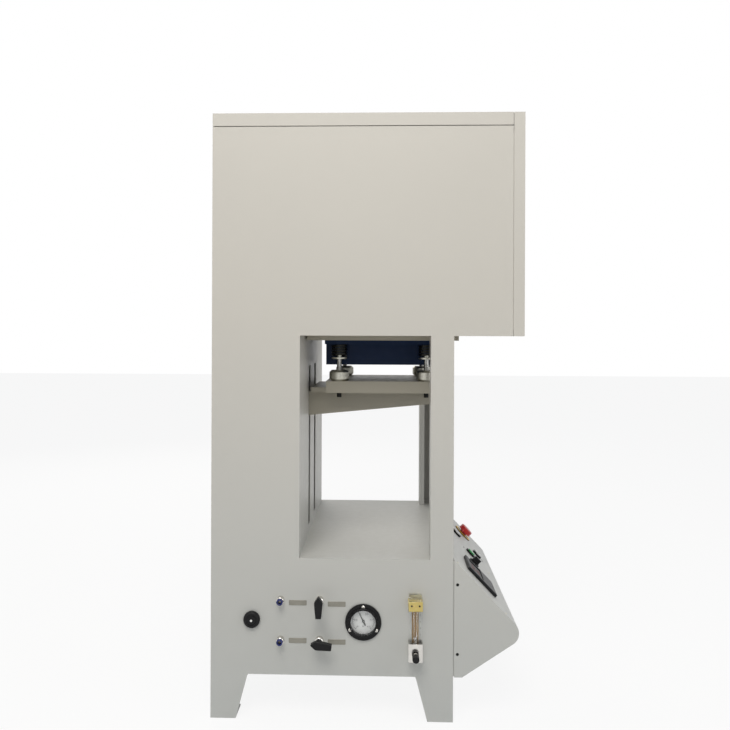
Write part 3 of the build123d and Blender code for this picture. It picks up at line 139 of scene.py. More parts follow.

# %% [markdown]
# A pattern can change three things: the colour, the gloss and the relief. Each has its own helper,
# and a fourth gives a point's height above the floor, for painted shade that darkens low down.

# %% Colour, gloss and relief
def tinted(material, amount, other, base=None):
    """The base colour, mixed towards another by an amount that varies over the surface."""
    shader = shader_of(material)
    mix = node(material, "ShaderNodeMix")
    mix.data_type = "RGBA"
    mix.inputs[6].default_value = shader.inputs["Base Color"].default_value
    mix.inputs[7].default_value = (*other, 1.0)
    if base is not None:
        link(material, base, mix.inputs[6])
    link(material, amount, mix.inputs[0])
    link(material, mix.outputs[2], shader.inputs["Base Color"])
    return mix.outputs[2]


def polished(material, value, low, high):
    """A roughness that drifts between two values."""
    link(material, remap(material, value, low, high), shader_of(material).inputs["Roughness"])


def textured(material, value, depth):
    """A surface raised and sunk by a depth in metres."""
    bump = node(material, "ShaderNodeBump")
    bump.inputs["Strength"].default_value = 1.0
    bump.inputs["Distance"].default_value = depth
    link(material, value, bump.inputs["Height"])
    link(material, bump.outputs["Normal"], shader_of(material).inputs["Normal"])


def height_of(material):
    """How far up the object a point is, in metres."""
    spot = node(material, "ShaderNodeTexCoord")
    parts = node(material, "ShaderNodeSeparateXYZ")
    link(material, spot.outputs["Object"], parts.inputs["Vector"])
    return parts.outputs["Z"]


print("patterns can tint, polish and emboss")

# %% [markdown]
# The cabinet is folded sheet, powder coated in a warm light grey. A powder coat melts into a skin
# with a faint orange peel and a satin gloss. It could be one diffuse colour, but then large panels
# look like card. Here a slow drift of tone, painted shade that turns the colour darker and cooler
# towards the floor where less light falls, a fine peel and a drifting roughness keep a big panel alive at
# every distance.

# %% Powder coats
satin, coat_shine = 0.42, 0.42
slow_drift, drift_share, drift_shade = 2.2, 0.35, 0.93
low_shade_full, low_shade_gone = 0.05, 0.95
satin_drift, satin_low, satin_high = 60.0, 0.36, 0.50
peel_grain = 900.0


def powder_coat(name, colour, low_shade, peel=0.00004):
    """Satin powder coat: slow tone drift, painted shade low down, orange peel."""
    coat = finish(name, colour, satin)
    shader_of(coat).inputs["Specular IOR Level"].default_value = coat_shine
    drift = remap(coat, noise(coat, slow_drift, 2.0), 0.0, drift_share)
    toned = tinted(coat, drift, tuple(drift_shade * c for c in colour))
    # Painted shade: from 0.95 m down to the floor the colour is mixed towards a darker, cooler one, for
    # light that falls off low down.
    shaded_low = remap(coat, height_of(coat), 1.0, 0.0, low_shade_full, low_shade_gone)
    tinted(coat, shaded_low, low_shade, toned)
    polished(coat, noise(coat, satin_drift), satin_low, satin_high)
    textured(coat, noise(coat, peel_grain, 2.0), peel)
    return coat


case_grey = (0.610, 0.585, 0.530)
# The darker, cooler colour that each coat reaches near the floor is painted shade.
case_low_shade = (0.520, 0.530, 0.510)
powder_coat("case_paint", case_grey, case_low_shade)
powder_coat("console_paint", case_grey, case_low_shade)
powder_coat("lift_paint", (0.400, 0.372, 0.300), (0.360, 0.338, 0.280))
navy = powder_coat("hearth_paint", (0.004, 0.016, 0.052), (0.004, 0.012, 0.040))
shader_of(navy).inputs["Specular IOR Level"].default_value = 0.16
powder_coat("motor_paint", (0.050, 0.085, 0.120), (0.040, 0.060, 0.080), 0.00008)
print("painted finishes:", sorted(finishes))

# %% [markdown]
# Bare metals show how they were made. Turned and ground shafts carry fine rings, rolled sheet has
# long faint streaks, zinc plate shows small crystals, and a nickel fitting is nearly a mirror. A
# stretched noise gives rings and streaks, and Voronoi cells give the crystals.

# %% Metals
metal_patches, metal_patch_share = 40.0, 0.6


def metal(name, colour, low, high, stretch, scale=300.0, depth=0.000008, shade=0.75):
    """Metal with marks that run one way: the stretch is small along them."""
    plain = finish(name, colour, (low + high) / 2, 1.0)
    marks = noise(plain, scale, 3.0, stretch)
    patches = remap(plain, noise(plain, metal_patches), 0.0, metal_patch_share)
    tinted(plain, patches, tuple(shade * c for c in colour))
    polished(plain, marks, low, high)
    textured(plain, marks, depth)
    return plain


rings = (0.15, 0.15, 3.0)
streaks = (0.2, 2.0, 2.0)
metal("steel_sheet", (0.23, 0.23, 0.225), 0.38, 0.55, streaks)
metal("bright_steel", (0.60, 0.60, 0.59), 0.16, 0.30, rings)
metal("aluminium", (0.70, 0.71, 0.72), 0.30, 0.46, streaks)
metal("plate_alu", (0.30, 0.29, 0.25), 0.40, 0.58, streaks)
metal("bronze", (0.58, 0.37, 0.16), 0.24, 0.40, rings)
metal("nickel", (0.72, 0.70, 0.66), 0.10, 0.20, rings, 200.0)
even = (1.0, 1.0, 1.0)
metal("spring_steel", (0.035, 0.036, 0.034), 0.32, 0.50, even, 500.0, 0.00002, 0.5)
zinc = metal("zinc_steel", (0.58, 0.57, 0.50), 0.28, 0.52, even, 260.0, 0.00003, 0.6)
zinc_crystals = 420.0
zinc_flakes = remap(zinc, cells(zinc, zinc_crystals), 0.0, 0.5, 0.2, 0.9)
tinted(zinc, zinc_flakes, (0.34, 0.33, 0.29))
print("metals ready")

# %% [markdown]
# The furnace's inside is ceramic. Fibre board is soft, matt and slightly fibrous, with its tone
# drifting in patches, and alumina is a dense smooth ceramic. The silicon carbide rods are
# dark and glassy with a coarse grain. Rubber and moulded plastics differ mostly in their gloss.

# %% Ceramics, rubber and plastics
tone_patches, tone_share, gloss_patches = 30.0, 0.8, 150.0


def moulding(name, colour, low, high, grain=1200.0, depth=0.00002, other=0.8, shine=0.5):
    """Moulded or cast stuff: even colour, a drift of tone and a fine grain."""
    plain = finish(name, colour, (low + high) / 2)
    shader_of(plain).inputs["Specular IOR Level"].default_value = shine
    patches = remap(plain, noise(plain, tone_patches), 0.0, tone_share)
    tinted(plain, patches, tuple(other * c for c in colour))
    polished(plain, noise(plain, gloss_patches), low, high)
    textured(plain, noise(plain, grain, 3.0), depth)
    return plain


moulding("fibre", (0.78, 0.74, 0.66), 0.85, 0.95, 700.0, 0.0006, 0.86)
moulding("alumina", (0.82, 0.80, 0.74), 0.50, 0.68, 900.0, 0.00006, 0.93)
moulding("element", (0.055, 0.058, 0.062), 0.30, 0.55, 1500.0, 0.0001, 0.55)
moulding("seal_rubber", (0.34, 0.075, 0.035), 0.45, 0.60)
moulding("fan_black", (0.018, 0.018, 0.019), 0.40, 0.55, shine=0.18)
moulding("gland_black", (0.012, 0.012, 0.013), 0.38, 0.52, shine=0.18)
moulding("handle_black", (0.010, 0.010, 0.011), 0.30, 0.44, shine=0.18)
moulding("gauge_black", (0.009, 0.009, 0.010), 0.22, 0.34, shine=0.18)
moulding("needle_black", (0.010, 0.010, 0.010), 0.40, 0.50)
moulding("controller_black", (0.016, 0.017, 0.018), 0.34, 0.48, shine=0.18)
moulding("collar_blue", (0.006, 0.016, 0.140), 0.26, 0.38)
moulding("dial_white", (0.88, 0.89, 0.88), 0.45, 0.55, 400.0, 0.00001, 0.96)
moulding("button_green", (0.020, 0.300, 0.070), 0.22, 0.34)
moulding("button_white", (0.74, 0.74, 0.72), 0.24, 0.36, 1200.0, 0.00002, 0.94)
moulding("stop_red", (0.520, 0.012, 0.010), 0.22, 0.34)
moulding("stop_yellow", (0.780, 0.500, 0.020), 0.40, 0.55)
moulding("ink_black", (0.014, 0.014, 0.014), 0.45, 0.60)
moulding("ink_white", (0.80, 0.80, 0.78), 0.45, 0.60, 1200.0, 0.00001, 0.95)
moulding("segment_red", (0.160, 0.010, 0.008), 0.30, 0.40)
moulding("strip_tan", (0.560, 0.330, 0.110), 0.40, 0.55, 500.0, 0.00002, 0.9)
yellow = moulding("flow_yellow", (0.680, 0.540, 0.170), 0.20, 0.34)
shader_of(yellow).inputs["Subsurface Weight"].default_value = 0.1
print("finishes so far:", len(finishes))

# %% [markdown]
# Glass and acrylic are the same shader with its light let through. The gauge's window is float
# glass and the flow meter's body is cast acrylic, which is duller where it was sawn and a touch
# grey. A little drift in the roughness stops them from looking like clean water.

# %% Clear finishes
clear_patches, clear_gloss, clear_shade = 25.0, 90.0, 0.97


def clear(name, colour, ior, low, high, cover):
    """A clear solid: light passes through it, bent by its index, and cover is how much it hides."""
    glass = finish(name, colour, low)
    shader_of(glass).inputs["Alpha"].default_value = cover
    shader_of(glass).inputs["Transmission Weight"].default_value = 1.0
    shader_of(glass).inputs["IOR"].default_value = ior
    patches = remap(glass, noise(glass, clear_patches), 0.0, 1.0)
    tinted(glass, patches, tuple(clear_shade * c for c in colour))
    polished(glass, noise(glass, clear_gloss), low, high)


clear("gauge_glass", (0.97, 0.98, 0.98), 1.50, 0.01, 0.04, 0.14)
clear("flow_clear", (0.93, 0.95, 0.95), 1.49, 0.03, 0.12, 0.38)

# %% [markdown]
# The frame comes with one plain stand-in for each finish, named as in its record. Painting node by
# node would repeat sixty lines, so one loop swaps each stand-in for the finish of the same name.

# %% Finishes onto the frame
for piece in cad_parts.values():
    for held in piece.material_slots:
        held.material = finishes[held.material.name.split(".")[0]]
print("dressed nodes:", len(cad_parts))

# %% [markdown]
# Every new piece is a surface of two parameters: a grid of points in numpy, joined into quads by
# the grid's own numbering. One builder closes the seams, turns the faces outwards, sets which edges
# are crisp by their angle, and hands the piece to the body that carries it. A grid may hold several
# copies of one shape, so that a set of screws or threads is one piece.

# %% From grids to pieces
def quads_of(rows, columns):
    """Quads between neighbours of a grid numbered row by row; the last column meets the first."""
    low_row, low_column = np.meshgrid(np.arange(rows - 1), np.arange(columns), indexing="ij")
    next_row, next_column = low_row + 1, (low_column + 1) % columns
    corners = [
        low_row * columns + low_column,
        low_row * columns + next_column,
        next_row * columns + next_column,
        next_row * columns + low_column,
    ]
    return np.stack(corners, axis=-1).reshape(-1, 4)


def piece_from(name, points, faces, finish_name, body="root", slot=None, crisp=35.0):
    """A closed piece at the origin: doubles merged, faces outwards, crisp where the angle is large."""
    mesh = bpy.data.meshes.new(name)
    mesh.from_pydata(np.asarray(points).tolist(), [], np.asarray(faces).tolist())
    shape = bmesh.new()
    shape.from_mesh(mesh)
    bmesh.ops.remove_doubles(shape, verts=shape.verts, dist=0.000002)
    bmesh.ops.recalc_face_normals(shape, faces=shape.faces)
    shape.to_mesh(mesh)
    shape.free()
    mesh.shade_smooth()
    mesh.set_sharp_from_angle(angle=radians(crisp))
    mesh.materials.append(finishes[finish_name])
    piece = bpy.data.objects.new(name, mesh)
    bpy.context.scene.collection.objects.link(piece)
    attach(piece, body)
    print(name, "has", len(mesh.polygons), "faces on", body)
    return piece


# %% [markdown]
# A set of screws or threads is one local grid, repeated and then carried to a place. A lathe profile
# is the most common grid: rows of a radius and a height, each carried once round.

# %% Copies, places and turned forms
def joined(grids):
    """Copies of one grid, shape (copies, rows, columns, 3), as one list of points and quads."""
    copies, rows, columns, _ = grids.shape
    faces = quads_of(rows, columns)
    step = np.arange(copies)[:, None, None] * rows * columns
    return grids.reshape(-1, 3), (faces[None] + step).reshape(-1, 4)


def place_on(points, spot):
    """Local points (across, up, out) carried to a place, whose rows are origin, across, up and out."""
    origin, across, up, out = (np.asarray(row, float) for row in spot)
    return origin + points[..., :1] * across + points[..., 1:2] * up + points[..., 2:3] * out


def copies_at(grid, centres):
    """One local grid repeated at several local centres (across, up, out)."""
    return grid[None] + np.asarray(centres, float)[:, None, None, :]


def turned(profile, columns=48):
    """A profile of (radius, height) carried round the out axis: each row is a circle of its radius."""
    profile = np.asarray(profile, float)
    angle = np.linspace(0.0, 2.0 * np.pi, columns, endpoint=False)
    radius = np.repeat(profile[:, :1], columns, axis=1)
    height = np.repeat(profile[:, 1:], columns, axis=1)
    return np.stack([radius * np.cos(angle), radius * np.sin(angle), height], axis=-1)


print("a turned row has", turned([(1.0, 0.0)]).shape[1], "points")

# %% [markdown]
# A machine screw's pan head is a low dome with a cross recess. It could be a disc with a picture of
# a cross, but the recess catches light, so it is real: on a polar grid the height is the dome less
# a depth wherever the point lies in either arm of the cross, with sloping walls.

# %% Screw heads
head_rings = np.array([0.0, 0.1, 0.2, 0.3, 0.4, 0.5, 0.6, 0.7, 0.8, 0.88, 0.94, 0.98, 1.0])
rim_drop = 0.96
arm_half, arm_wall = 0.13, 0.05
arm_reach, arm_end = 0.60, 0.12
cross_depth = 0.62


def pan_head(radius, height, turn=0.4):
    """A pan head on a polar grid: a quarter-ellipse dome, less a sloping-sided cross."""
    angle = np.linspace(0.0, 2.0 * np.pi, 48, endpoint=False)
    across = head_rings[:, None] * np.cos(angle + turn)
    up = head_rings[:, None] * np.sin(angle + turn)
    dome = height * np.sqrt(1.0 - rim_drop * head_rings**2)[:, None]
    near = np.minimum(abs(across), abs(up))
    far = np.maximum(abs(across), abs(up))
    beside = np.clip((arm_half - near) / arm_wall, 0.0, 1.0)
    inside = beside * np.clip((arm_reach - far) / arm_end, 0.0, 1.0)
    level = dome - cross_depth * height * inside
    head = np.stack([radius * across, radius * up, level], axis=-1)
    foot = np.stack([radius * across[-1], radius * up[-1], np.zeros(len(angle))], axis=-1)
    return np.concatenate([head, foot[None], np.zeros_like(foot)[None]])


print("a screw head has", pan_head(1.0, 0.5).shape[:2], "points")

# %% [markdown]
# The gas panel is the side that a visitor sees first. Its places all follow from the frame's own
# boxes: the gauge's centre is the middle of its case, and the panel's face is the lowest y of the
# side panel. A place is an origin and three directions: across, up and out of the surface.

# %% Places on the gas panel
def middle(name):
    """The middle of a node's box."""
    low, high = (np.array(corner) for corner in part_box(name))
    return (low + high) / 2


panel_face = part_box("gas_side_panel")[0][1]
gauge_at = middle("gauge_case")
gauge_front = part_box("gauge_case")[0][1]


def on_gas_side(x, y, z):
    """A place that faces out of the gas panel."""
    return ((x, y, z), (1, 0, 0), (0, 0, 1), (0, -1, 0))


print("gauge centre:", gauge_at.round(4).tolist())

# %% [markdown]
# The gauge is held by three bright screws in its black flange. Their circle is 72 mm across.

# %% Gauge screws
gauge_screw_circle = 36.0 * MM
gauge_flange_rise = 4.0 * MM
gauge_flange_face = panel_face - gauge_flange_rise
screw_angles = np.radians([90.0, 210.0, 330.0])
screw_spots = np.stack([np.cos(screw_angles), np.sin(screw_angles), np.zeros(3)], axis=-1)
heads = copies_at(pan_head(4.2 * MM, 2.6 * MM), gauge_screw_circle * screw_spots)
gauge_face = on_gas_side(gauge_at[0], gauge_flange_face, gauge_at[2])
piece_from("gauge_screws", *joined(place_on(heads, gauge_face)), "nickel")

# %% [markdown]
# The dial reads a compound scale, from vacuum to pressure, over three quarters of a turn. Print on a
# real dial is thin ink. It could be painted by a texture, but raised strokes a tenth of a millimetre
# high stay sharp at every zoom. Each stroke is a small closed bar, and all bars are made at once.

# %% Bars
unit_box = np.array([(x, y, z) for z in (0, 1) for x, y in ((-1, -1), (1, -1), (1, 1), (-1, 1))])
box_sides = np.array([(0, 3, 2, 1), (4, 5, 6, 7), (0, 1, 5, 4), (1, 2, 6, 5), (2, 3, 7, 6), (3, 0, 4, 7)])


def bars(centres, sizes, turns, spot):
    """Closed boxes (length, width, thickness) turned about the out axis, standing on a place.

    A corner is the centre plus the half sizes, turned by the angle; all corners are one array.
    """
    centres, sizes, turns = (np.asarray(each, float) for each in (centres, sizes, turns))
    local = unit_box[None] * sizes[:, None, :] * [0.5, 0.5, 1.0]
    cosine, sine = np.cos(turns)[:, None], np.sin(turns)[:, None]
    across = local[..., 0] * cosine - local[..., 1] * sine + centres[:, :1]
    up = local[..., 0] * sine + local[..., 1] * cosine + centres[:, 1:2]
    points = place_on(np.stack([across, up, local[..., 2]], axis=-1), spot)
    faces = box_sides[None] + len(unit_box) * np.arange(len(centres))[:, None, None]
    return points.reshape(-1, 3), faces.reshape(-1, 4)


print("a bar has", len(box_sides), "faces")

# %% [markdown]
# Letters come from a text object, which is made a mesh before its place is applied, so that the
# finished print sits at the origin like every other piece. Strokes and letters join into one piece.

# %% Lettering
ink = 0.12 * MM


def written(words, size, at, spot):
    """A word as closed letters, centred at a local point, standing on a place."""
    curve = bpy.data.curves.new("lettering", "FONT")
    curve.body = words
    curve.size = size
    curve.align_x = "CENTER"
    curve.align_y = "CENTER"
    curve.extrude = ink / 2
    curve.resolution_u = 3
    holder = bpy.data.objects.new("lettering", curve)
    mesh = bpy.data.meshes.new_from_object(holder)
    flat = np.empty(3 * len(mesh.vertices))
    mesh.vertices.foreach_get("co", flat)
    local = flat.reshape(-1, 3) + [at[0], at[1], ink / 2]
    faces = [tuple(polygon.vertices) for polygon in mesh.polygons]
    bpy.data.objects.remove(holder)
    bpy.data.curves.remove(curve)
    bpy.data.meshes.remove(mesh)
    return place_on(local, spot), faces


def printed(name, parts, finish_name, body="root"):
    """Several lists of points and faces as one piece of print."""
    points, faces, count = [], [], 0
    for some_points, some_faces in parts:
        points.append(some_points)
        faces.extend(tuple(int(index) + count for index in face) for face in some_faces)
        count += len(some_points)
    mesh = bpy.data.meshes.new(name)
    mesh.from_pydata(np.concatenate(points).tolist(), [], faces)
    mesh.materials.append(finishes[finish_name])
    piece = bpy.data.objects.new(name, mesh)
    bpy.context.scene.collection.objects.link(piece)
    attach(piece, body)
    print(name, "has", len(faces), "faces on", body)
    return piece


print("ink is", 1000 * ink, "mm thick")

# %% [markdown]
# The dial's strokes follow the scale: each reading has its own angle, the tenth strokes are long and
# broad, and an arc of short bars joins their ends. The numbers stand on a smaller circle.

# %% The gauge's dial
dial_sheet = 1.0 * MM
dial_face = on_gas_side(gauge_at[0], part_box("gauge_dial")[1][1] - dial_sheet, gauge_at[2])
scale_radius = 26.0 * MM
scale_low, scale_high = -0.10, 0.15
scale_sweep = 270.0
strokes, major_every, middle_every = 51, 10, 2
readings = np.linspace(scale_low, scale_high, strokes)
first_angle = 90.0 + scale_sweep / 2
per_reading = scale_sweep / (scale_high - scale_low)
swing = np.radians(first_angle - (readings - scale_low) * per_reading)
major = np.arange(strokes) % major_every == 0
middle_mark = np.arange(strokes) % middle_every == 0
stroke = np.where(major, 4.6, np.where(middle_mark, 3.0, 2.0)) * MM
wide = np.where(major, 0.7, 0.3) * MM
reach = scale_radius - stroke / 2
marks = np.stack([reach * np.cos(swing), reach * np.sin(swing)], axis=-1)
mark_sizes = np.stack([stroke, wide, np.full_like(wide, ink)], axis=-1)
arc_bars = 90
arc = np.radians(np.linspace(first_angle, first_angle - scale_sweep, arc_bars + 1))
arc_marks = scale_radius * np.stack([np.cos(arc), np.sin(arc)], axis=-1)
arc_step = scale_radius * radians(scale_sweep) / arc_bars
arc_lap, arc_wide = 1.05, 0.35 * MM
arc_sizes = np.tile([arc_step * arc_lap, arc_wide, ink], (len(arc), 1))
dial_print = [
    bars(marks, mark_sizes, swing, dial_face),
    bars(arc_marks, arc_sizes, arc + np.pi / 2, dial_face),
]
number_radius, number_size, near_zero = 18.2 * MM, 4.6 * MM, 0.001
for reading in readings[major]:
    turn = radians(first_angle - (reading - scale_low) * per_reading)
    words = "0" if abs(reading) < near_zero else f"{reading:.2g}"
    spot_at = (number_radius * cos(turn), number_radius * sin(turn))
    dial_print.append(written(words, number_size, spot_at, dial_face))
unit_size, unit_below = 4.0 * MM, -12.0 * MM
dial_print.append(written("MPa", unit_size, (0.0, unit_below), dial_face))
printed("gauge_print", dial_print, "ink_black")

# %% [markdown]
# A black bezel ring holds the gauge's window. It is a lathe profile: a quarter-round lip with a flat
# inside edge, turned about the gauge's axis.

# %% Gauge ring
def quarter_round(radius, height, fillet, steps=7):
    """A profile corner: an arc of the fillet's radius from the outside wall to the top."""
    angle = np.linspace(0.0, np.pi / 2, steps)
    radii = radius - fillet + fillet * np.cos(angle)
    heights = height - fillet + fillet * np.sin(angle)
    return np.stack([radii, heights], axis=-1)


ring_outer, ring_inner = 33.0 * MM, 29.6 * MM
ring_rise, ring_inner_rise, ring_fillet, ring_sunk = 1.2 * MM, 0.7 * MM, 1.0 * MM, 0.3 * MM
lip = quarter_round(ring_outer, ring_rise, ring_fillet)
ring_foot = [(ring_inner, 0.0), (ring_outer, 0.0)]
ring_inside = [(ring_inner, ring_inner_rise), (ring_inner, 0.0)]
ring_profile = np.concatenate([ring_foot, lip, ring_inside])
ring_spot = on_gas_side(gauge_at[0], gauge_front + ring_sunk, gauge_at[2])
ring_grid = turned(ring_profile, 96)[None]
piece_from("gauge_ring", *joined(place_on(ring_grid, ring_spot)), "gauge_black")

# %% [markdown]
# Four small plates lie beside the fittings and handles. Real ones are etched metal with words, and
# here they are left bare: rolled aluminium with rounded corners and a bevelled edge. A rounded
# rectangle is a polygon of four arcs, and each row of the grid moves it in and up along the bevel.

# %% Rounded plates
least_corner = 0.05 * MM


def rounded_plate(width, height, corner, thickness, bevel, arc_steps=6):
    """A plate on a place: an outline of four arcs, moved in along a bevelled edge profile."""
    angle = np.linspace(0.0, np.pi / 2, arc_steps)
    quarters = np.concatenate([angle + turn * np.pi / 2 for turn in range(4)])
    sign_across = np.repeat([1, -1, -1, 1], arc_steps)
    sign_up = np.repeat([1, 1, -1, -1], arc_steps)
    rows = []
    for inset, level in ((0.0, 0.0), (0.0, thickness - bevel), (bevel, thickness)):
        radius = max(corner - inset, least_corner)
        across = sign_across * (width / 2 - corner) + radius * np.cos(quarters)
        up = sign_up * (height / 2 - corner) + radius * np.sin(quarters)
        rows.append(np.stack([across, up, np.full(len(up), level)], axis=-1))
    bottom, top = np.zeros_like(rows[0]), np.zeros_like(rows[0]) + [0.0, 0.0, thickness]
    return np.stack([bottom, *rows, top])


plate_width, plate_height = 42.0 * MM, 12.0 * MM
upper_row = middle("upper_collar")[2]
lower_row = middle("lower_collar")[2]
fitting_x, valve_x = middle("upper_collar")[0], middle("upper_valve_handle")[0]
plate_gap = 40.5 * MM
upper_plates_below, lower_plates_below, valve_plates_below = 7.0 * MM, 2.0 * MM, 2.0 * MM
plate_rows = (upper_row - upper_plates_below, lower_row - lower_plates_below)
plate_columns = ((fitting_x, 0.0), (valve_x, valve_plates_below))
plate_spots = [(x + plate_gap, row - below) for row in plate_rows for x, below in plate_columns]
gas_origin = on_gas_side(0.0, panel_face, 0.0)
plate_centres = [(x, z, 0.0) for x, z in plate_spots]
plate_corner, plate_sheet, plate_bevel = 1.5 * MM, 0.8 * MM, 0.25 * MM
one_plate = rounded_plate(plate_width, plate_height, plate_corner, plate_sheet, plate_bevel)
plates = copies_at(one_plate, plate_centres)
piece_from("row_plates", *joined(place_on(plates, gas_origin)), "plate_alu", slot="aluminium")

# %% [markdown]
# The flow meter is one block of clear acrylic between two end blocks. A tan scale strip stands
# behind the bore, and the scale on the front is ink in engraved lines, with numbers at each fifth.

# %% Flow meter scale
tube_low, tube_high = (np.array(corner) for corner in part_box("flowmeter_tube"))
tube_at = (tube_low + tube_high) / 2
tube_height = tube_high[2] - tube_low[2]
strip_width, strip_sheet, strip_corner, strip_bevel = 15.0 * MM, 1.0 * MM, 0.6 * MM, 0.2 * MM
strip_ends = 1.0 * MM
strip = rounded_plate(strip_width, tube_height - strip_ends, strip_corner, strip_sheet, strip_bevel)
strip_spot = on_gas_side(tube_at[0], tube_high[1] + strip_sheet, tube_at[2])
piece_from("flow_back_strip", *joined(place_on(strip[None], strip_spot)), "strip_tan", slot="flow_yellow")

scale_count, scale_share = 21, 0.40
rise = np.linspace(-scale_share, scale_share, scale_count) * tube_height
fifth = np.arange(scale_count) % 5 == 0
line_length = np.where(fifth, 5.0, 2.6) * MM
line_start, line_wide, line_thick = -6.5 * MM, 0.45 * MM, 0.15 * MM
line_middle = line_start - line_length / 2
line_section = np.tile([line_wide, line_thick], (scale_count, 1))
line_sizes = np.concatenate([line_length[:, None], line_section], axis=-1)
tube_face = on_gas_side(tube_at[0], tube_low[1], tube_at[2])
flow_print = [bars(np.stack([line_middle, rise], axis=-1), line_sizes, 0.0 * rise, tube_face)]
step_size, step_across = 5.2 * MM, 10.5 * MM
for step, level in enumerate(rise[fifth]):
    flow_print.append(written(str(step), step_size, (step_across, level), tube_face))
printed("flow_print", flow_print, "ink_black")

# %% [markdown]
# The upper block is yellow plastic, and a clear cap sits on top of it. Two small dark screws hold it.
# Both forms are the rounded plate again, as deep as the meter, and they stand for one block of the
# engineering model, which has no cap.

# %% Flow meter top
block_low_corner, block_high_corner = (np.array(corner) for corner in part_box("flowmeter_top_block"))
block_wide = block_high_corner[0] - block_low_corner[0]
block_deep = panel_face - block_low_corner[1]
cap_high = 11.0 * MM
yellow_high = block_high_corner[2] - block_low_corner[2] - cap_high
block_x = middle("flowmeter_top_block")[0]
yellow_spot = on_gas_side(block_x, panel_face, block_low_corner[2] + yellow_high / 2)
block_corner, block_bevel = 1.6 * MM, 0.8 * MM
yellow_grid = rounded_plate(block_wide, yellow_high, block_corner, block_deep, block_bevel)
yellow_shape = joined(place_on(yellow_grid[None], yellow_spot))
yellow_block = piece_from("flow_yellow_block", *yellow_shape, "flow_yellow")
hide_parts("flowmeter_top_block")
cap_spot = on_gas_side(block_x, panel_face, block_high_corner[2] - cap_high / 2)
cap_inset, cap_gap = 1.0 * MM, 0.4 * MM
cap_wide, cap_deep = block_wide - 2 * cap_inset, block_deep - cap_inset
cap_grid = rounded_plate(cap_wide, cap_high - cap_gap, block_corner, cap_deep, block_bevel)
piece_from("flow_clear_cap", *joined(place_on(cap_grid[None], cap_spot)), "flow_clear")
screw_side_by, screw_share = 9.0 * MM, 0.6
screw_level = block_low_corner[2] + screw_share * yellow_high
block_screws_at = [(block_x + side * screw_side_by, screw_level, 0.0) for side in (-1, 1)]
block_screws = copies_at(pan_head(2.2 * MM, 0.8 * MM), block_screws_at)
block_spot = on_gas_side(0.0, block_low_corner[1], 0.0)
piece_from("flow_block_screws", *joined(place_on(block_screws, block_spot)), "spring_steel")

# %% [markdown]
# A pale disc sits at the middle of the cable gland's face. It is a shallow lathe form with a faint dome.

# %% Gland centre
gland_at = middle("supply_gland")
pale_radius, pale_edge, pale_rise = 2.8 * MM, 0.5 * MM, 0.6 * MM
pale_form = turned([(0.0, 0.0), (pale_radius, 0.0), (pale_radius, pale_edge), (0.0, pale_rise)], 32)[None]
pale_spot = on_gas_side(gland_at[0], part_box("supply_gland")[0][1], gland_at[2])
piece_from("gland_pale_disc", *joined(place_on(pale_form, pale_spot)), "ink_white", slot="dial_white")

# %% [markdown]
# The console's cheek is held by two screws, at its foot and near its top, and the plain side has the
# same pair. Their heads are low, so that they stay within the case's outline.

# %% Case screws
cheek_inset = 10.0 * MM
cheek_levels = (0.159, 0.322)
housing_low, housing_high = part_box("console_housing")
cheek_x, near_y, far_y = housing_low[0] + cheek_inset, housing_low[1], housing_high[1]
side_head = pan_head(3.6 * MM, 0.9 * MM, 0.9)
cheek_spot = on_gas_side(cheek_x, near_y, 0.0)
far_spot = ((cheek_x, far_y, 0.0), (-1, 0, 0), (0, 0, 1), (0, 1, 0))
side_centres = [(0.0, level, 0.0) for level in cheek_levels]
side_heads = [place_on(copies_at(side_head, side_centres), spot) for spot in (cheek_spot, far_spot)]
piece_from("cheek_screws", *joined(np.concatenate(side_heads)), "spring_steel")

# %% [markdown]
# The rear cover's screws stand in two rows up its long edges, evenly spaced.

# %% Rear screws
rear_low, rear_high = (np.array(corner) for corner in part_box("rear_panel"))
rear_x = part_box("plain_side_panel")[0][0]
rear_spot = ((rear_x, 0.0, 0.0), (0, -1, 0), (0, 0, 1), (-1, 0, 0))
screw_inset, end_inset, screws_a_side = 9.0 * MM, 40.0 * MM, 7
screw_z = np.linspace(rear_low[2] + end_inset, rear_high[2] - end_inset, screws_a_side)
screw_y = np.array([rear_low[1] + screw_inset, rear_high[1] - screw_inset])
rear_centres = [(-y, z, 0.0) for y in screw_y for z in screw_z]
rear_heads = copies_at(pan_head(4.0 * MM, 2.4 * MM, 0.2), rear_centres)
piece_from("rear_screws", *joined(place_on(rear_heads, rear_spot)), "zinc_steel")

# %% [markdown]
# Each corner of the hearth stands on a threaded stud. A cut thread could be a bump in the finish, but
# its outline shows against the light bay, so it is a surface: the radius rises and falls with the
# height less a share of the turn, which is what makes a helix. The stud's tail under the tray is near-black
# as painted shade.

# %% Threads
crest_power = 0.8


def threaded(low, high, root, depth, pitch, columns=24, per_turn=6):
    """A threaded rod: radius = root + depth * (1 - |2 * fraction - 1|) ** power, closed at both ends.

    The fraction is what is left of height / pitch - angle / (2 pi) after whole turns are taken away,
    and a power under one rounds the crest.
    """
    rows = int(round((high - low) / pitch * per_turn)) + 1
    height = np.linspace(low, high, rows)[:, None]
    angle = np.linspace(0.0, 2.0 * np.pi, columns, endpoint=False)[None, :]
    fraction = (height / pitch - angle / (2.0 * np.pi)) % 1.0
    radius = root + depth * (1.0 - abs(2.0 * fraction - 1.0)) ** crest_power
    levels = np.broadcast_to(height, radius.shape)
    wall = np.stack([radius * np.cos(angle), radius * np.sin(angle), levels], axis=-1)
    bottom, top = np.zeros_like(wall[:1]), np.zeros_like(wall[:1])
    bottom[..., 2], top[..., 2] = low, high
    return np.concatenate([bottom, wall, top])


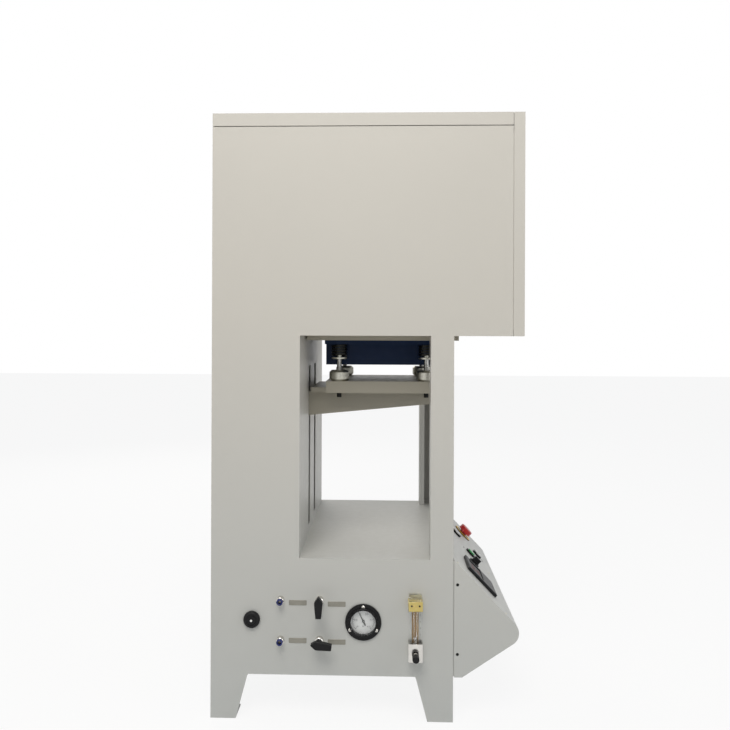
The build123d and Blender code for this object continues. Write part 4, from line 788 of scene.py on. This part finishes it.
stud_low, stud_high = (np.array(corner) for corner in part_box("spring_studs"))
collar_radius, collar_thick = 20.0 * MM, 4.5 * MM
stud_root, stud_depth, stud_pitch = 6.02 * MM, 0.55 * MM, 1.75 * MM
stud_xs = (stud_low[0] + collar_radius, stud_high[0] - collar_radius)
stud_ys = (stud_low[1] + collar_radius, stud_high[1] - collar_radius)
stud_spots = [(x, y, 0.0) for x in stud_xs for y in stud_ys]
wheel_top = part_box("adjuster_nuts")[1][2]
collar_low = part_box("seal_springs")[0][2] - collar_thick
lock_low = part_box("adjuster_nuts")[0][2]
skin = 0.1 * MM
stud_thread = threaded(wheel_top + skin, collar_low, stud_root, stud_depth, stud_pitch)
stud_shape = joined(copies_at(stud_thread, stud_spots))
piece_from("stud_threads", *stud_shape, "bright_steel", "carriage", crisp=60.0)
# Painted shade: the bright stud is given a near-black finish below the tray, for the shadow under it.
shaded_tail_thread = threaded(stud_low[2] - skin, lock_low - skin, stud_root, stud_depth, stud_pitch)
shaded_tail_shape = joined(copies_at(shaded_tail_thread, stud_spots))
piece_from("stud_tails_painted_shade", *shaded_tail_shape, "spring_steel", "carriage", crisp=60.0)

# %% [markdown]
# The hand nuts are knurled for grip. A diamond knurl is two sets of grooves that cross: one leans
# left and one leans right, and the lower of the two ridges is what stands up. The band closes on
# itself inside the nut.

# %% Knurled bands
knurl_fade, band_wall = 0.8 * MM, 1.0 * MM


def knurled(low, high, radius, depth, teeth=60, rows=25, per_tooth=4):
    """A ring whose wall is radius + depth * the lower of two slanted triangle waves."""
    height = np.linspace(low, high, rows)[:, None]
    angle = np.linspace(0.0, 2.0 * np.pi, teeth * per_tooth, endpoint=False)[None, :]
    lean = height / (2.0 * np.pi * radius / teeth)
    around = teeth * angle / (2.0 * np.pi)
    leaning_left = 1.0 - abs(2.0 * ((around + lean) % 1.0) - 1.0)
    leaning_right = 1.0 - abs(2.0 * ((around - lean) % 1.0) - 1.0)
    fade = np.clip(np.minimum(height - low, high - height) / knurl_fade, 0.0, 1.0)
    reach_out = radius + depth * np.minimum(leaning_left, leaning_right) * fade
    levels = np.broadcast_to(height, reach_out.shape)
    wall = np.stack([reach_out * np.cos(angle), reach_out * np.sin(angle), levels], axis=-1)
    inner_radius = radius - band_wall
    inner = inner_radius * np.stack([np.cos(angle), np.sin(angle), np.zeros_like(angle)], axis=-1)
    inner_low, inner_high = inner + [0, 0, low], inner + [0, 0, high]
    return np.concatenate([inner_low, wall, inner_high, inner_low])


nut_edge, wheel_radius, knurl_depth = 5.0 * MM, 25.02 * MM, 0.7 * MM
tray_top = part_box("lift_tray")[1][2]
band = knurled(tray_top + nut_edge, wheel_top - nut_edge, wheel_radius, knurl_depth)
piece_from("nut_knurls", *joined(copies_at(band, stud_spots)), "zinc_steel", "carriage", crisp=50.0)

# %% [markdown]
# The console's controls lie on its slope. The place's across runs along the console, its up climbs
# the slope and its out leaves the face, so every mark is laid out as on a flat drawing.

# %% Console places
face_low, face_high = (np.array(corner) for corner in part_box("console_face"))
slope_up, slope_out = np.array([-0.6925, 0.0, 0.7213]), np.array([0.7213, 0.0, 0.6925])
slope_top_x, slope_top_z = 0.209, 0.380
face_top = np.array([slope_top_x, middle("console_face")[1], slope_top_z])
console_spot = (face_top, (0, 1, 0), slope_up, slope_out)
controls_row = -103.4 * MM


def along(name):
    """How far along the console a control's middle lies."""
    return middle(name)[1] - face_top[1]


print("the stop button stands", round(along("emergency_stop"), 4), "m along the console")

# %% [markdown]
# Six screws hold the sloped face, three along its top edge and three along its foot.

# %% Console screws
face_edge = 10.0 * MM
top_row, foot_row = -14.0 * MM, -178.0 * MM
half_long = (face_high[1] - face_low[1]) / 2 - face_edge
face_corners = [(sign * half_long, up, 0.0) for sign in (-1, 0, 1) for up in (top_row, foot_row)]
face_heads = copies_at(pan_head(3.0 * MM, 1.8 * MM, 0.6), face_corners)
piece_from("console_screws", *joined(place_on(face_heads, console_spot)), "zinc_steel")

# %% [markdown]
# A yellow ring under the stop button makes it easy to find. It lies on the button's collar.

# %% Stop ring
stop_inner, stop_outer = 21.5 * MM, 28.4 * MM
collar_face, ring_edge, ring_middle = 2.0 * MM, 2.5 * MM, 2.6 * MM
stop_profile = [(stop_inner, collar_face), (stop_outer, collar_face), (stop_outer, ring_edge)]
stop_profile += [(stop_inner, ring_middle), (stop_inner, collar_face)]
stop_grid = copies_at(turned(stop_profile, 72), [(along("emergency_stop"), controls_row, 0.0)])
piece_from("stop_ring", *joined(place_on(stop_grid, console_spot)), "stop_yellow", slot="flow_yellow")

# %% [markdown]
# Plain words stand beside the switch and the buttons. They say only what each one does.

# %% Console words
switch_size, button_size = 7.0 * MM, 6.0 * MM
word_gap, pair_step = 24.0 * MM, 42.0 * MM
console_words = [
    ("ON", switch_size, "power_switch", word_gap),
    ("OFF", switch_size, "power_switch", -word_gap),
    ("HEAT", button_size, "heating_button", word_gap),
    ("UP", button_size, "up_button", pair_step + word_gap),
    ("DOWN", button_size, "down_button", -pair_step - word_gap),
]
console_letters = [
    written(word, size, (along(control), controls_row + rise_by), console_spot)
    for word, size, control, rise_by in console_words
]
printed("console_print", console_letters, "ink_black")

# %% [markdown]
# The controller shows two rows of seven-segment numbers in red: the temperature now, and the set
# value under it. A number is a few bars: each digit names which of its seven bars glow.

# %% Display
glowing = {"0": "abcdef", "2": "abged", "5": "afgcd"}
lying, standing = 0.0, np.pi / 2
bar_places = {
    "a": (0, 2, lying),
    "b": (1, 1, standing),
    "c": (1, -1, standing),
    "d": (0, -2, lying),
    "e": (-1, -1, standing),
    "f": (-1, 1, standing),
    "g": (0, 0, lying),
}
bar_long, bar_wide, bar_thick = 0.40, 0.10, 0.2 * MM
quarter_high, digit_step = 0.25, 0.78


def digits(number, spot_at, high, face):
    """Bars of the glowing segments of a number. Lengths are shares of a digit's height."""
    centres, sizes, turns = [], [], []
    for count, digit in enumerate(number):
        digit_at = spot_at[0] + (count - (len(number) - 1) / 2) * digit_step * high
        for letter in glowing[digit]:
            side, step, turn = bar_places[letter]
            centres.append((digit_at + side * quarter_high * high, spot_at[1] + step * quarter_high * high))
            sizes.append((bar_long * high, bar_wide * high, bar_thick))
            turns.append(turn)
    return bars(centres, sizes, turns, face)


display_rise = 6.0 * MM
display_spot = (face_top + slope_out * display_rise, (0, 1, 0), slope_up, slope_out)
display_at = along("temperature_controller")
now_row, now_high = controls_row + 26.0 * MM, 13.0 * MM
set_row, set_high = controls_row + 8.0 * MM, 9.0 * MM
now_digits = digits("0025", (display_at, now_row), now_high, display_spot)
set_digits = digits("0000", (display_at, set_row), set_high, display_spot)
printed("display_digits", [now_digits, set_digits], "segment_red")

# %% [markdown]
# The two lift buttons carry an arrow each, and the arrow goes down with its button. A turned form of
# three columns is a triangle, so the lathe's function makes the arrows too.

# %% Button arrows
arrow_radius, arrow_thick, cap_top = 4.6 * MM, 0.3 * MM, 8.0 * MM
arrow = turned([(0.0, 0.0), (arrow_radius, 0.0), (arrow_radius, arrow_thick), (0.0, arrow_thick)], 3)
arrow = arrow[..., [1, 0, 2]] * [-1.0, 1.0, 1.0]
for name, way in (("up_button", 1.0), ("down_button", -1.0)):
    spot_at = (along(name), controls_row + way * pair_step, cap_top)
    grid = place_on(copies_at(arrow * [1.0, way, 1.0], [spot_at]), console_spot)
    piece_from(name + "_arrow", *joined(grid), "ink_black", name, slot="gauge_black")

# %% [markdown]
# Four screws hold the fan inside the rear cover. They sit at the corners of the fan's square frame.

# %% Fan screws
fan_at = middle("fan_frame")
fan_corner = 52.5 * MM
corner_signs = [(a, b) for a in (-1, 1) for b in (-1, 1)]
fan_spots = [(a * fan_corner - fan_at[1], b * fan_corner + fan_at[2], 0.0) for a, b in corner_signs]
fan_heads = copies_at(pan_head(3.4 * MM, 2.0 * MM, 0.7), fan_spots)
piece_from("fan_screws", *joined(place_on(fan_heads, rear_spot)), "zinc_steel")

# %% [markdown]
# The studio is plain: a pale floor that runs on to the horizon, and an even sky. Both look white to
# the camera, and to rays that glance off metal or pass through glass, by adding emission for those
# rays alone, so no extra light falls on the furnace. The floor keeps the furnace's shadow.

# %% White for the camera
def white_to_camera(tree):
    """One where a ray comes from the camera, a mirror-like bounce or through glass, and else nothing."""
    path = tree.nodes.new("ShaderNodeLightPath")
    glossy = tree.nodes.new("ShaderNodeMath")
    glossy.operation = "MAXIMUM"
    tree.links.new(path.outputs["Is Camera Ray"], glossy.inputs[0])
    tree.links.new(path.outputs["Is Glossy Ray"], glossy.inputs[1])
    through = tree.nodes.new("ShaderNodeMath")
    through.operation = "MAXIMUM"
    tree.links.new(glossy.outputs[0], through.inputs[0])
    tree.links.new(path.outputs["Is Transmission Ray"], through.inputs[1])
    return through.outputs[0]


print("white for the camera, mirrors and glass")

# %% [markdown]
# The floor is matt and nearly white by itself. Most of what the camera sees of it is emission, and
# the rest is its own colour, which is where the shadow shows.

# %% Floor
floor_reach = 14.0
floor_white = 0.88
floor_mesh = bpy.data.meshes.new("studio_floor")
corners = [(x, y, 0.0) for x, y in ((-1, -1), (1, -1), (1, 1), (-1, 1))]
floor_mesh.from_pydata((floor_reach * np.array(corners)).tolist(), [], [(0, 1, 2, 3)])
floor = bpy.data.objects.new("studio_floor", floor_mesh)
bpy.context.scene.collection.objects.link(floor)

floor_finish = bpy.data.materials.new("studio_floor")
floor_finish.use_nodes = True
tree = floor_finish.node_tree
floor_shader = tree.nodes["Principled BSDF"]
floor_shader.inputs["Base Color"].default_value = (0.86, 0.86, 0.855, 1.0)
floor_shader.inputs["Roughness"].default_value = 0.9
glow = tree.nodes.new("ShaderNodeEmission")
mixed = tree.nodes.new("ShaderNodeMixShader")
share = tree.nodes.new("ShaderNodeMath")
share.operation = "MULTIPLY"
share.inputs[1].default_value = floor_white
tree.links.new(white_to_camera(tree), share.inputs[0])
tree.links.new(share.outputs[0], mixed.inputs[0])
tree.links.new(floor_shader.outputs[0], mixed.inputs[1])
tree.links.new(glow.outputs[0], mixed.inputs[2])
tree.links.new(mixed.outputs[0], tree.nodes["Material Output"].inputs["Surface"])
floor_mesh.materials.append(floor_finish)
print("floor", 2 * floor_reach, "m across")

# %% [markdown]
# The sky is an even, slightly cool light. It fills the shadows, and the camera sees plain white.

# %% Sky
ambient_strength = 0.42
world = bpy.data.worlds.new("studio_sky")
world.use_nodes = True
bpy.context.scene.world = world
sky = world.node_tree
ambient = sky.nodes["Background"]
ambient.inputs["Color"].default_value = (0.93, 0.96, 1.0, 1.0)
ambient.inputs["Strength"].default_value = ambient_strength
backdrop = sky.nodes.new("ShaderNodeBackground")
backdrop.inputs["Color"].default_value = (1.0, 1.0, 1.0, 1.0)
sky_mix = sky.nodes.new("ShaderNodeMixShader")
sky.links.new(white_to_camera(sky), sky_mix.inputs[0])
sky.links.new(ambient.outputs[0], sky_mix.inputs[1])
sky.links.new(backdrop.outputs[0], sky_mix.inputs[2])
sky.links.new(sky_mix.outputs[0], sky.nodes["World Output"].inputs["Surface"])
print("sky strength", ambient_strength)

# %% [markdown]
# Three soft square lamps do the rest: a large warm one high in front, a weaker one from the right,
# and one behind that lights the bay. Large lamps give the soft shadow edges of a studio.

# %% Lamps
def soft_lamp(name, spot, aim, width, watts, colour):
    """A square area lamp at a place, turned to look at another."""
    lamp = bpy.data.lights.new(name, "AREA")
    lamp.size = width
    lamp.energy = watts
    lamp.color = colour
    held = bpy.data.objects.new(name, lamp)
    held.location = spot
    held.rotation_euler = (Vector(aim) - Vector(spot)).to_track_quat("-Z", "Y").to_euler()
    bpy.context.scene.collection.objects.link(held)


soft_lamp("key", (-0.3, -2.3, 3.3), (0.0, 0.0, 1.1), 1.8, 62.0, (1.0, 0.965, 0.91))
soft_lamp("side", (3.2, -1.4, 1.9), (0.0, 0.0, 0.9), 1.8, 14.0, (0.97, 0.98, 1.0))
soft_lamp("back", (-1.6, 3.0, 2.4), (0.0, 0.0, 0.8), 2.0, 34.0, (1.0, 0.95, 0.88))
print("lamps:", [item.name for item in bpy.data.lights])

# %% [markdown]
# The camera stands 1.7 m from the gas panel, a little above the furnace's middle, and looks almost
# straight at it, so the far side of the bay shows through the window in perspective. A photographer
# would crop the picture afterwards. A small lens shift does the same without turning the camera.

# %% Camera
image_side = 730.0
focal_px = 720.18
centre_u, centre_v = 363.18, 333.49
yaw, pitch, roll = 0.030496, 0.000674, 0.003717
eye = (0.04504, -1.96791, 0.90912)
sensor = 36.0

forward = np.array([-sin(yaw) * cos(pitch), cos(yaw) * cos(pitch), sin(pitch)])
level = np.array([cos(yaw), sin(yaw), 0.0])
upward = np.cross(level, forward)
right = cos(roll) * level + sin(roll) * upward
top = cos(roll) * upward - sin(roll) * level

lens = bpy.data.cameras.new("camera")
lens.sensor_fit = "HORIZONTAL"
lens.sensor_width = sensor
lens.lens = sensor * focal_px / image_side
lens.shift_x = (image_side / 2 - centre_u) / image_side
lens.shift_y = (centre_v - image_side / 2) / image_side
camera = bpy.data.objects.new("camera", lens)
camera.matrix_world = Matrix(
    (
        (right[0], top[0], -forward[0], eye[0]),
        (right[1], top[1], -forward[1], eye[1]),
        (right[2], top[2], -forward[2], eye[2]),
        (0.0, 0.0, 0.0, 1.0),
    )
)
bpy.context.scene.collection.objects.link(camera)
bpy.context.scene.camera = camera
print("lens", round(lens.lens, 2), "mm")

# %% [markdown]
# The standard view transform shows colours as they are written. The dressed model has to stay within
# the engineering model's box.

# %% View
bpy.context.scene.view_settings.view_transform = "Standard"
